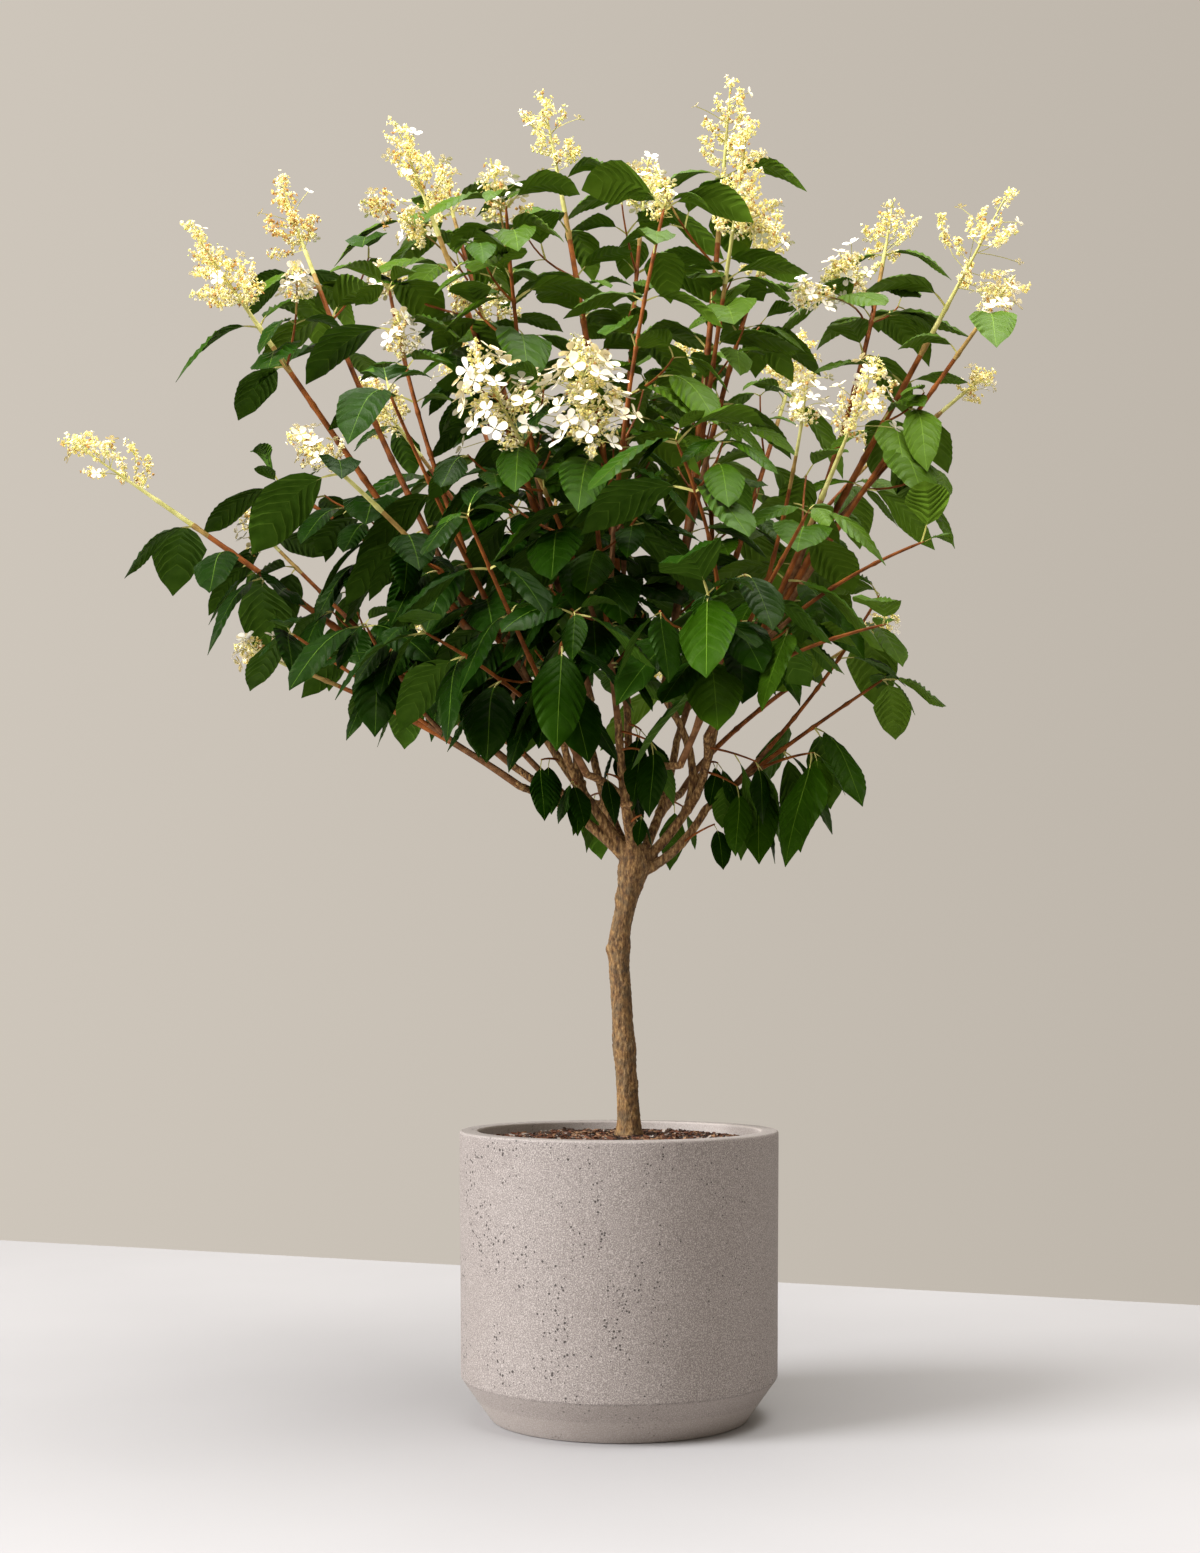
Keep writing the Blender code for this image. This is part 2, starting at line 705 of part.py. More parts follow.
def limb_tree():
    """The trunk and every bough, as far proud as leaves keep from them."""
    limbs = helper_collection("limbs")
    make_trunk(limbs, "limb_trunk", LEAF_CLEARANCE)
    for name in CROWN:
        radii = bough_radii(name, LEAF_CLEARANCE)
        tube("limb_" + name, bough_path(name), radii, BOUGH_SIDES, limbs, "bark")
    tree = mesh_tree(limbs.objects)
    for limb in list(limbs.objects):
        bpy.data.objects.remove(limb)
    bpy.data.collections.remove(limbs)
    return tree


def make_foliage(name, collection, section, wedges, limbs):
    """One mass: its leader, with side shoots, leaves and blossom fused to it."""
    paths = shoot_paths(name)
    pieces = helper_collection(name + "_pieces")
    leader = tube("foliage_" + name, paths[0], shoot_radii(0, paths[0]), 3, collection, "foliage", section)
    for number, path in enumerate(paths[1:], 1):
        tube(f"{name}_shoot_{number}", path, shoot_radii(number, path), 3, pieces, "foliage", section)
    for number, shoot in enumerate(CROWN[name].shoots):
        if shoot.bloom:
            bloom_solid(f"{name}_bloom_{number}", paths[number], shoot, pieces)
    shoots = mesh_tree([leader, *pieces.objects])
    for number, leaf in enumerate(kept_leaves(name, wedges, (limbs, shoots))):
        leaf_solid(f"{name}_leaf_{number}", leaf, pieces)
    combine(leader, pieces, "UNION")
    return leader


def main():
    for obj in list(bpy.data.objects):
        bpy.data.objects.remove(obj)
    plant = bpy.data.collections.new("panicle_hydrangea")
    bpy.context.scene.collection.children.link(plant)
    section = triangle_section()
    make_pot(plant)
    make_potting_mix(plant)
    make_trunk(plant)
    wedges = wedges_of_crown()
    limbs = limb_tree()
    for name in CROWN:
        make_bough(name, plant)
        make_foliage(name, plant, section, wedges, limbs)
    bpy.data.objects.remove(section)


main()
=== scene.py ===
"""How a potted panicle hydrangea looks: bark, shoots, leaves, blossom, potting mix and cement pot.

Units are metres and +Z is up. The side of the plant that shows best faces -Y. The limbs grow by the
rule of the solids: boughs leave the knuckle and each other, every bough ends in a mass of shoots, and
leaves stand on the shoots in pairs. Here the rule goes on to finer twigs, stalks, veins and florets.
"""

import json
import math
import random
from collections import namedtuple
from itertools import product

import bpy
import numpy as np
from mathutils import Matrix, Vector, noise
from mathutils.bvhtree import BVHTree
from mathutils.kdtree import KDTree

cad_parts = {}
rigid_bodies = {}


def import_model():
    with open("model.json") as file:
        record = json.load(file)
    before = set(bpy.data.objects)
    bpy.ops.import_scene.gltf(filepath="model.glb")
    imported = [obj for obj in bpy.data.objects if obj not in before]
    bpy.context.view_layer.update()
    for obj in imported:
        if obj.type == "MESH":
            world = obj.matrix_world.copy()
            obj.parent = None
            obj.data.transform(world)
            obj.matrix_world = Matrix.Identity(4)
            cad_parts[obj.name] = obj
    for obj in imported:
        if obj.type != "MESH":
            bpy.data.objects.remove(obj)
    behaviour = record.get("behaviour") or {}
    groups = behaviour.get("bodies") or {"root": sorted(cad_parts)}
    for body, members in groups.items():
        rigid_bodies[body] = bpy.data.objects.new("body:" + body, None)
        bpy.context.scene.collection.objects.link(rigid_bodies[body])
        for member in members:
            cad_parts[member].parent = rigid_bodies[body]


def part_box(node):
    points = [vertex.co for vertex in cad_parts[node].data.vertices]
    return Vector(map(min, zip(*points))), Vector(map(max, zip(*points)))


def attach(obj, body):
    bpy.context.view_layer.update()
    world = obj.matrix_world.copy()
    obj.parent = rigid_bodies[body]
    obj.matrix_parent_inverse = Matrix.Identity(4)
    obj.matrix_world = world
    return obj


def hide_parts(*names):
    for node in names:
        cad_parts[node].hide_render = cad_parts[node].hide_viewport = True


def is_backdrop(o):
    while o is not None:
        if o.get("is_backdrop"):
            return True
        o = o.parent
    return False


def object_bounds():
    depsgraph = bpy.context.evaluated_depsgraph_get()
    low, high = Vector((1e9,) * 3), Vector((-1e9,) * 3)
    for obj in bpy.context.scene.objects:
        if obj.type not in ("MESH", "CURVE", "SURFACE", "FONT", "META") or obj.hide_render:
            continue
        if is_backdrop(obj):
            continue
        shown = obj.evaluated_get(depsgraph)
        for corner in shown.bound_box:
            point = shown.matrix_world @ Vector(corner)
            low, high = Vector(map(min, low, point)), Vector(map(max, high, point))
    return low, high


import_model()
CAD_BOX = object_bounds()
UP = Vector((0, 0, 1))
MM = 0.001
# Just short of a path's end, and as good as upright
LAST_PLACE = 0.9999
UPRIGHT = 0.999
TINY = 1e-12
BOX_CORNERS = ((-1, -1), (1, -1), (1, 1), (-1, 1))
BOX_FACES = ((3, 2, 1, 0), (4, 5, 6, 7), (0, 1, 5, 4), (1, 2, 6, 5), (2, 3, 7, 6), (3, 0, 4, 7))

# The photo's camera: where it stands, how far it tilts up and its lens
CAMERA_PLACE = (-0.0227, -2.5, 0.499)
CAMERA_TILT = math.radians(5.9)
CAMERA_LENS = 47.9
CAMERA_SENSOR = 36.0
CAMERA_CLIP_END = 50

# Pot
POT_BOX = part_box("pot")
POT_HEIGHT = POT_BOX[1].z
POT_RIM_RADIUS = 0.190
POT_SHOULDER_RADIUS = 0.1865
POT_SHOULDER_HEIGHT = 0.048
POT_FOOT_RADIUS = 0.151
POT_WALL = 0.022
POT_FLOOR = 0.024
POT_SEGMENTS = 288
# Its lip, and how softly it turns at the shoulder and at the foot's edge
POT_LIP = 0.0026
SHOULDER_EASE = 0.006
SHOULDER_SHARE = 0.4
FOOT_ROUND = 0.002
FOOT_INSET = 0.001
BEVEL_END = (0.0015, 0.0019)
# A turned body's profile ends this far from the axis
AXIS_RADIUS = 0.01
# Slight waves in the outside: how many to a metre, how high, and how far from the edges they begin
POT_WAVES = ((9, 0.0003), (60, 0.00012))
WAVE_FOOT_GAP = 0.002
WAVE_EDGE_GAP = 0.004

# Potting mix
MIX_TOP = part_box("potting_mix")[1].z
MIX_EDGE_DROP = 0.012
MIX_CROWN_RADIUS = 0.055
MIX_SIDE_GAP = 0.0012
MIX_RADIUS = POT_RIM_RADIUS - POT_WALL - MIX_SIDE_GAP
MIX_FLOOR_GAP = 0.001
MIX_RINGS = 70
MIX_SEGMENTS = 200
# Its lumps and hollows: how many to a metre, and how high
MIX_LUMPS = ((22, 0.0022), (90, 0.0016), (260, 0.0009))

# Bark chips: their number, how far they keep from the rim and the trunk, and their spread in size
CHIPS = 4200
CHIP_SEED = 41
CHIP_RIM_GAP = 0.006
CHIP_TRUNK_GAP = 0.021
CHIP_LENGTHS = (0.0022, 0.003, 0.004, 0.005, 0.007)
CHIP_SPREAD = (0.7, 1.3)
CHIP_BREADTH = (0.35, 0.8)
CHIP_THICKNESS = (0.14, 0.35)
CHIP_CORNERS = (0.6, 1.15)
CHIP_TILT = (0.1, 0.7)
CHIP_LIFT = 0.35
CHIP_SHARES = (0.40, 0.32, 0.18, 0.10)

# Trunk: how far it leans to +X at each height above the mix
TRUNK_FOOT = 0.0003
TRUNK_LEAN = (
    (0.000, 0.012),
    (0.022, 0.012),
    (0.190, 0.001),
    (0.235, 0.000),
    (0.300, 0.014),
    (0.350, 0.024),
)
TRUNK_HEIGHT = 0.350
TRUNK_STEPS = 90
TRUNK_RADII = (0.0134, 0.0122)
# At the top, inside the knuckle, it narrows: the share of its radius that is left there, and the
# height in which it would lose a whole radius
TRUNK_END = 0.72
TRUNK_END_LENGTH = 0.05
FLARE = 0.0052
FLARE_HEIGHT = 0.012
BEND_EASE = 0.014
EASE_STEPS = (-1.0, -0.5, 0.0, 0.5, 1.0)
# Old scars and the knuckle: how high each is, how proud and half as tall as it is
SWELLINGS = ((0.104, 0.0016, 0.013), (0.226, 0.0013, 0.012), (0.320, 0.0070, 0.024))
HEAD = Vector((0.020, 0.0, MIX_TOP + 0.322))
LUMPS = 5
LUMP_RADIUS = 0.0095
LUMP_OFFSET = 0.0125
LUMP_STATIONS = (-0.98, -0.7, 0, 0.7, 0.98)
LUMP_SIDES = 12

# Boughs and shoots: their radii from foot to tip, and how far they sweep out before they turn
BOUGH_RADII = (0.0066, 0.0048)
FORKED_BOUGH_RADII = (0.0054, 0.0045)
LEADER_RADII = (0.0046, 0.0022)
SIDE_SHOOT_RADII = (0.0036, 0.0020)
BOUGH_SWEEP = 0.5
LEADER_SWEEP = 0.4
SIDE_SHOOT_SWEEP = 0.25
BOUGH_STEPS = 24
SHOOT_STEPS = 30
STRAIGHT_END = 0.010
SIDE_SHOOT_SPACING = 0.12
# A long shoot is stouter: its stoutness at no reach, the more of it for each metre of reach, and the
# share of the shoot by which it has all of it
STOUTNESS = (0.46, 0.76)
STOUT_FROM = 0.25

# Leaves: where they stand, and pairs of values for the bottom and the top of the crown
NODE_SPACING = 0.052
FIRST_NODE = 0.024
LAST_NODE = 0.006
LEAF_LENGTH = (0.084, 0.130)
HIGH_LEAF_SCALE = 1.08
HIGH_SLIMNESS = (1.04, 0.84)
LEAF_SLIMNESS = 0.52
CROWN_HEIGHTS = (0.80, 1.40)
LEAF_LIFT = math.radians(35)
LEAF_LEVELLING = 0.6
LEAF_HANG = (-0.62, 0.06)
OUTER_HANG = (0.50, 0.26)
YOUNG_HANG = (0.50, 1.35)
LIMP_BELOW = 0.88
LIMPNESS = 7.0
OUTER_REACH = (0.22, 0.46)
LEAF_DROOP = (0.60, 0.80)
LEAF_TILT = 0.16
LEAF_ROLL = (0.60, 0.24)
DROOP_SPREAD = 0.30
LEAF_CLEAR_FROM = 0.09
# The ways that a leaf tries to find room: how far it is lifted, in degrees, and how long it is
LEAF_TRIES = ((0, 1.0), (12, 0.95), (24, 0.90), (-14, 0.95), (-28, 0.90), (30, 0.78), (8, 0.72))

# The crown's form: the lowest that a tip may hang at each distance from the trunk, how much higher
# that is for each metre towards the back, and how far to +X a tip may reach at each height
UNDERSIDE = ((0.00, 0.88), (0.12, 0.87), (0.20, 0.81), (0.36, 0.79), (0.44, 0.89), (0.60, 0.98))
LOW_UNDERSIDE = ((0.00, 0.64), (0.14, 0.65), (0.24, 0.70), (0.34, 0.76), (0.60, 0.80))
UNDERSIDE_RAGGED = 0.07
RAGS_PER_METRE = 14
LOW_MASS = "right_low"
UNDERSIDE_TILT = 0.20
RIGHT_LIFT = 0.08
RIGHT_LIFT_FROM = (0.05, 0.17)
RIGHT_FLANK = (
    (0.60, 0.24), (0.72, 0.30), (0.80, 0.41), (0.87, 0.40), (0.93, 0.28),
    (0.98, 0.30), (1.02, 0.41), (1.15, 0.43), (1.30, 0.45), (1.42, 0.51),
)
# The share of leaf pairs and twigs that grow, from -X to +X: the crown is thinner at its sides
FULLNESS = (
    (-0.45, 1.00), (-0.40, 0.42), (-0.20, 0.40), (-0.09, 0.92), (0.08, 0.90), (0.18, 0.36), (0.60, 0.16),
)
# How much more or less that is at each height
HIGHER_FULLNESS = ((0.86, 0.08), (1.00, -0.12), (1.16, 0.00), (1.32, 0.22))
LOW_FULLNESS = 0.75
LAST_STRETCH = 0.86
MOST_SHOOTS = 10
MOST_NODES = 100
BLOOM_OVERHANG = 0.04

# The small pair of leaves at the tip of a shoot that doesn't flower
TIP_STRETCH = 0.004
TIP_TURN = 1.2
TIP_AGE = 0.1
TIP_SCALE = 0.5
SHORTEST_SHOOT = 0.1

Shoot = namedtuple("Shoot", "bearing rise reach bloom")
Mass = namedtuple("Mass", "parent fork start bow bare shoots")

# Each mass: its bough's parent, where the bough forks, how far out the mass starts, the bough's bow in
# degrees, how high its shoots stay bare, and for each shoot its bearing, rise, reach and blossom
CROWN = {
    "far_left": Mass("trunk", -0.002, 0.20, -6, 0.18, (
        Shoot(180, 37, 0.88, 0.120),
        Shoot(168, 42, 0.70, 0.075),
    )),
    "left_top": Mass("trunk", 0.006, 0.20, 4, 0.18, (
        Shoot(185, 55, 0.96, 0.135),
        Shoot(162, 62, 1.05, 0.130),
        Shoot(174, 47, 0.66, 0.000),
    )),
    "crest_mid": Mass("trunk", 0.014, 0.20, 6, 0.19, (
        Shoot(146, 82, 1.02, 0.115),
        Shoot(84, 77, 1.01, 0.090),
    )),
    "right_top": Mass("trunk", 0.000, 0.21, 24, 0.18, (
        Shoot(0, 61, 0.97, 0.150),
        Shoot(354, 57, 0.86, 0.070),
        Shoot(24, 67, 0.97, 0.090),
        Shoot(18, 53, 0.83, 0.070),
    )),
    "right_low": Mass("trunk", -0.010, 0.12, 18, 0.09, (
        Shoot(4, 37, 0.39, 0.000),
        Shoot(6, 48, 0.46, 0.000),
        Shoot(340, 30, 0.26, 0.000),
    )),
    "front_high": Mass("trunk", 0.002, 0.19, 14, 0.19, (
        Shoot(259, 59, 0.64, 0.130),
        Shoot(236, 59, 0.65, 0.130),
        Shoot(280, 76, 0.78, 0.000),
    )),
    "back_left": Mass("trunk", 0.004, 0.20, 16, 0.18, (
        Shoot(124, 60, 0.92, 0.115),
        Shoot(144, 56, 0.83, 0.100),
        Shoot(101, 53, 0.78, 0.095),
    )),
    "back_right": Mass("trunk", 0.000, 0.20, 16, 0.18, (
        Shoot(58, 59, 0.93, 0.125),
        Shoot(38, 52, 0.80, 0.090),
        Shoot(80, 63, 0.90, 0.100),
    )),
    "left_low": Mass("far_left", 0.55, 0.18, 8, 0.17, (
        Shoot(176, 29, 0.57, 0.070),
        Shoot(192, 33, 0.50, 0.000),
        Shoot(212, 36, 0.45, 0.000),
    )),
    "left_mid": Mass("left_top", 0.45, 0.19, 8, 0.18, (
        Shoot(202, 49, 0.66, 0.070),
        Shoot(222, 54, 0.64, 0.000),
        Shoot(196, 66, 0.76, 0.000),
    )),
    "crest_left": Mass("left_top", 0.55, 0.22, 4, 0.18, (
        Shoot(187, 72, 0.97, 0.130),
        Shoot(142, 71, 1.02, 0.095),
        Shoot(226, 74, 0.80, 0.000),
    )),
    "crest_right": Mass("right_top", 0.50, 0.22, 4, 0.18, (
        Shoot(0, 83, 1.00, 0.115),
        Shoot(316, 78, 0.90, 0.140),
        Shoot(34, 75, 0.90, 0.105),
    )),
    "right_mid": Mass("right_top", 0.45, 0.19, 10, 0.17, (
        Shoot(330, 61, 0.67, 0.110),
        Shoot(308, 60, 0.62, 0.060),
        Shoot(340, 46, 0.52, 0.000),
    )),
    "front_left": Mass("front_high", 0.45, 0.17, 6, 0.17, (
        Shoot(240, 44, 0.52, 0.000),
        Shoot(230, 33, 0.44, 0.000),
        Shoot(258, 37, 0.42, 0.000),
    )),
    "front_right": Mass("front_high", 0.55, 0.17, 6, 0.17, (
        Shoot(300, 45, 0.52, 0.000),
        Shoot(282, 38, 0.44, 0.000),
        Shoot(322, 36, 0.44, 0.000),
        Shoot(276, 51, 0.56, 0.000),
    )),
    "back_left_low": Mass("back_left", 0.45, 0.17, 6, 0.17, (
        Shoot(134, 38, 0.60, 0.085),
        Shoot(112, 34, 0.50, 0.000),
        Shoot(152, 34, 0.54, 0.000),
    )),
    "back_right_low": Mass("back_right", 0.45, 0.17, 6, 0.17, (
        Shoot(37, 38, 0.58, 0.070),
        Shoot(62, 35, 0.53, 0.000),
        Shoot(86, 36, 0.54, 0.085),
    )),
}

# The crown's masses by side, since each side's leaves, shoots and blossom become one piece each
SIDES = {
    "left": ("far_left", "left_low", "left_mid", "left_top"),
    "crest": ("crest_left", "crest_mid", "crest_right"),
    "right": ("right_top", "right_mid", "right_low"),
    "front": ("front_high", "front_left", "front_right"),
    "back": ("back_left", "back_left_low", "back_right", "back_right_low"),
}

# A leaf blade: its side veins, and the columns of points from edge to edge
VEINS = 6
VEIN_SHARES = (0.05, 0.70)
VEIN_HALF = 0.0066
VEIN_SLANT = 0.50
VEIN_CURVE = 1.15
VEIN_FOOT = 0.03
BLADE_COLUMNS = (-1.0, -0.54, 0.0, 0.54, 1.0)
# Rows below the first vein and above the last: where each leaves the midrib, and its pleat
FOOT_ROWS = ((0.0, 0.0), (0.008, 0.2), (0.022, 0.5))
TIP_ROWS = ((0.84, 0.2), (0.93, 0.1), (1.0, 0.0))
BLADE_RISE = 0.58
BLADE_FALL = 0.72
TIP_LENGTH = 0.14
TIP_SLIMNESS = 0.5
NARROWEST = 0.018
BLADE_THICKNESS = 0.0005
PLEAT = 0.040
PLEAT_SWELL = ((0, 0.54, 1), (0, 1, 0.25))
LAST_PLEAT = 0.6
FOLD = 0.34
ARCH = 0.34
WAVE = 0.07
WAVE_RATES = (9.0, 2)
TEETH = 0.007
LEAF_TWIST = 0.30
FOLD_SPREAD = (0.4, 1.5)
LEAF_CURL = (-0.1, 0.5)
CURL_FROM = 0.45
SLIM_SPREAD = (0.94, 1.16)
STALK_SHARE = (0.13, 0.20)
STALK_RISE = 0.46
STALK_RADIUS = 0.00155
MIDRIB_RADIUS = 0.00075
MIDRIB_TIP_RADIUS = 0.00022
MIDRIB_PROUD = 0.25
MIDRIB_LEAF_LENGTH = 0.12
MIDRIB_CORNER = (0.87, 0.5)
STALK_STATIONS = (0.0, 0.3, 0.65, 1.0)
MIDRIB_STATIONS = (0.06, 0.14, 0.26, 0.40, 0.54, 0.68, 0.80, 0.90, 0.97)

# Seeds, so that each kind of growth draws its own numbers
TWIG_SEEDS = 50000
SPRIG_SEEDS = 3 * TWIG_SEEDS
SPRAY_SEEDS = 5 * TWIG_SEEDS
TIP_SEEDS = 7 * TWIG_SEEDS

# Side twigs, which leave the shoots' lower nodes. Some of the high ones flower.
TWIG_BLOOM_HEIGHT = 1.20
TWIG_BLOOM_CHANCE = 0.30
TWIG_BLOOM = (0.045, 0.075)
TWIG_STYLES = ("pale", "cream", "airy")
TWIG_BLOOM_STALK = 0.8
TWIG_LENGTH = (0.045, 0.115)
TWIG_TURN = (0.3, 1.2)
# A twig's two stretches: their shares of its length, and how far each goes out, onwards and up
TWIG_STRETCHES = (0.55, 0.45)
TWIG_WAYS = ((0.85, 0.5), (0.45, 0.7, 0.35))
TWIG_STEPS = 6
TWIG_NODES = (0.55, 0.98)
BLOOMING_TWIG_NODES = (0.40, 0.72)
TWIG_LEAF_TURN = 0.7
TWIG_TRIES = 4
TWIG_AGE = 0.8
TWIG_SHARE = 0.80
TWIG_CHANCE = 0.62
TWIG_RADII = (0.0017, 0.0011)
TWIG_LEAF_SCALE = (0.55, 0.85)
TWIG_GREEN_FROM = 0.6
TWIG_RIPENING = 0.12

# A shoot's finishes, in their order
OLD_WOOD, RED_BROWN, PALE_GREEN, TURNING = range(4)
# How much of it is old wood, how much more is green than its blossom covers, and how soon that turns
WOOD_SHARE = 0.20
WOOD_SPREAD = 0.1
GREEN_STRETCH = (0.02, 0.08)
RIPENING = 0.018
# Green would begin here on a shoot without blossom: past its tip, so nowhere
PAST_THE_TIP = 2
# Its swelling at a pair of leaves, and its taper under the tip
NODE_OFFSETS = (-0.0075, -0.003, 0.0, 0.003, 0.0075)
NODE_HALF = 0.0038
NODE_SWELL = 0.00075
SHOOT_TAPER = (0.25, 0.65)
SHORTEST_TAPER = 0.012
SHOOT_SIDES = 6
TWIG_SIDES = 5

# Floor and lamps. The floor's far edge runs through two points, to match the photo's.
FLOOR_EDGE = ((-1.227, 1.723), (0.933, 0.862))
FLOOR_SPAN = 6.0
FLOOR_GAP = 0.0006
FLOOR_THICKNESS = 0.004
KEY_WAY = (204, 28)
KEY_DISTANCE = 12.0
KEY_SIZE = 6.2
KEY_POWER = 2850
KEY_COLOUR = (0.98, 0.99, 1.02)
KEY_AIM = Vector((0, 0, 0.6))
TOP_AIM = (0, 0, 0.9)
TOP_PLACE = (0.4, -0.6, 4.6)
TOP_SIZE = 4.0
TOP_POWER = 330
# The room's walls from left to right, and how far to each side they change
ROOM_TINTS = ((0.0, "#cec6bb"), (1.0, "#beb6ab"))
ROOM_SPAN = 0.3

# Leaf colours, from the oldest leaves low down to the youngest at the top. The lighter ones also carry
# painted light
LEAF_TINTS = ("#0c2200", "#142e01", "#213d03", "#2f4a08", "#3a540c", "#435c14")
# Painted light: how much lighter the leaves are painted for each metre to +X, the lit side, and the farthest
# +X that counts
PAINTED_LIGHT_TO_RIGHT = 1.40
PAINTED_LIGHT_FARTHEST = 0.24
# How much lighter they are with height, partly younger leaves and partly painted light on the lit top, to
# which power, and towards a shoot's tip
HIGH_YOUTH_AND_LIGHT = 1.06
HIGH_YOUTH_AND_LIGHT_POWER = 1.6
TIP_YOUTH = 0.22
YOUTH_SPREAD = 0.10
VEIN_TINT = "#86a83e"
# How clearly the side veins show, on the oldest leaves and past the youngest
VEIN_CLEARNESS = (0.45, 1.65)

# Leafy twigs low on the boughs: where along the bough, the way they point, their length and leaf size
Sprig = namedtuple("Sprig", "bough share bearing rise length scale")
SPRIGS = (
    Sprig("far_left", 0.30, 200, -5, 0.045, 0.44),
    Sprig("left_top", 0.55, 250, 30, 0.040, 0.40),
    Sprig("front_high", 0.30, 300, 30, 0.035, 0.30),
    Sprig("front_high", 0.60, 240, 20, 0.040, 0.38),
    Sprig("right_low", 0.55, 320, 30, 0.060, 0.66),
    Sprig("right_low", 0.95, 290, -10, 0.030, 0.66),
    Sprig("right_low", 0.75, 350, 0, 0.055, 0.70),
    Sprig("right_mid", 0.55, 330, -15, 0.045, 0.62),
    Sprig("right_mid", 0.85, 350, -10, 0.060, 0.66),
    Sprig("front_high", 0.92, 330, -10, 0.045, 0.62),
    Sprig("crest_mid", 0.90, 290, -5, 0.045, 0.60),
    Sprig("right_top", 0.40, 330, 30, 0.035, 0.40),
    Sprig("crest_mid", 0.45, 285, 30, 0.030, 0.34),
    Sprig("crest_mid", 0.75, 250, 20, 0.035, 0.50),
    Sprig("front_high", 0.80, 310, 10, 0.035, 0.50),
    Sprig("left_top", 0.80, 230, 10, 0.035, 0.52),
    Sprig("right_top", 0.75, 290, 10, 0.035, 0.50),
    Sprig("back_left", 0.60, 110, 10, 0.050, 0.50),
    Sprig("back_right", 0.55, 60, 5, 0.050, 0.55),
)
# Side shoots that flower: the shoot each leaves, where along it, where its blossom ends, and its style
Spray = namedtuple("Spray", "mass shoot share tip bloom style")
SPRAYS = (
    Spray("crest_left", 2, 0.72, (-0.152, -0.150, 1.475), 0.080, "pale"),
    Spray("crest_left", 1, 0.74, (-0.325, 0.020, 1.490), 0.055, "faded"),
    Spray("crest_left", 1, 0.66, (-0.270, -0.030, 1.450), 0.065, "cream"),
    Spray("right_top", 2, 0.70, (0.262, -0.010, 1.385), 0.100, "pale"),
    Spray("right_top", 2, 0.62, (0.215, -0.090, 1.330), 0.060, "pale"),
    Spray("crest_right", 1, 0.80, (0.185, -0.060, 1.415), 0.060, "cream"),
    Spray("left_mid", 2, 0.70, (-0.262, -0.120, 1.300), 0.055, "pale"),
)
SPRAY_SWEEP = 0.45
SPRAY_STEPS = 10
SPRAY_NODES = (0.012, 0.060)
SPRAY_BLOOM_FOOT = 0.96
SPRAY_AGE = 0.2
SPRAY_SCALE = 0.8

# Every bough has one more leafy twig near its tip, drawn from these ranges
SPRIG_SHARE = 0.93
SPRIG_TURN = 130
SPRIG_RISE = (-10, 40)
SPRIG_LENGTH = (0.035, 0.065)
SPRIG_SCALE = (0.55, 0.80)
SPRIG_SAG = 0.008
SPRIG_STEPS = 5
MOST_SPRIGS = 10
# Where a leafy twig's three leaves stand, and how far they are turned
SPRIG_LEAVES = ((0.97, 0.5), (0.97, 0.5 + math.pi), (0.55, 2.0))

Twig = namedtuple("Twig", "path bloom style")
Leaf = namedtuple("Leaf", "root heading side length droop stem stalk tint seed")


def direction(bearing, rise):
    """The unit vector of a compass bearing and a rise above level, both in degrees."""
    turn, lift = math.radians(bearing), math.radians(rise)
    return Vector((math.cos(turn) * math.cos(lift), math.sin(turn) * math.cos(lift), math.sin(lift)))


def shoot_direction(shoot):
    """The way to a shoot's tip from the knuckle."""
    return direction(shoot.bearing, shoot.rise)


def mass_axis(mass):
    """The middle of the mass's shoots, as a direction from the knuckle."""
    total = Vector()
    for shoot in mass.shoots:
        total += shoot_direction(shoot)
    return total.normalized()


def between(pair, share):
    """The value that lies this share of the way from the pair's first to its second."""
    return pair[0] + (pair[1] - pair[0]) * share


def step_points(start, control, end, steps):
    """Points on the curve that leaves start and reaches end along the control point."""
    shares = [step / steps for step in range(steps + 1)]
    return [start.lerp(control, share).lerp(control.lerp(end, share), share) for share in shares]


def along(path, share):
    """A point and the direction of travel this share of the way along a path of points."""
    place = min(max(share, 0.0), LAST_PLACE) * (len(path) - 1)
    index = int(place)
    return path[index].lerp(path[index + 1], place - index), (path[index + 1] - path[index]).normalized()


def path_length(path):
    """How long a path of points is."""
    return sum((b - a).length for a, b in zip(path, path[1:]))


def square_to(heading, turn):
    """A direction at right angles to the heading, turned about it by this many radians."""
    level = heading.orthogonal() if abs(heading.z) > UPRIGHT else heading.cross(UP)
    level.normalize()
    return level * math.cos(turn) + heading.cross(level) * math.sin(turn)


def any_way(chance):
    """A direction drawn evenly from all of them."""
    return Vector((chance.gauss(0, 1), chance.gauss(0, 1), chance.gauss(0, 1))).normalized()


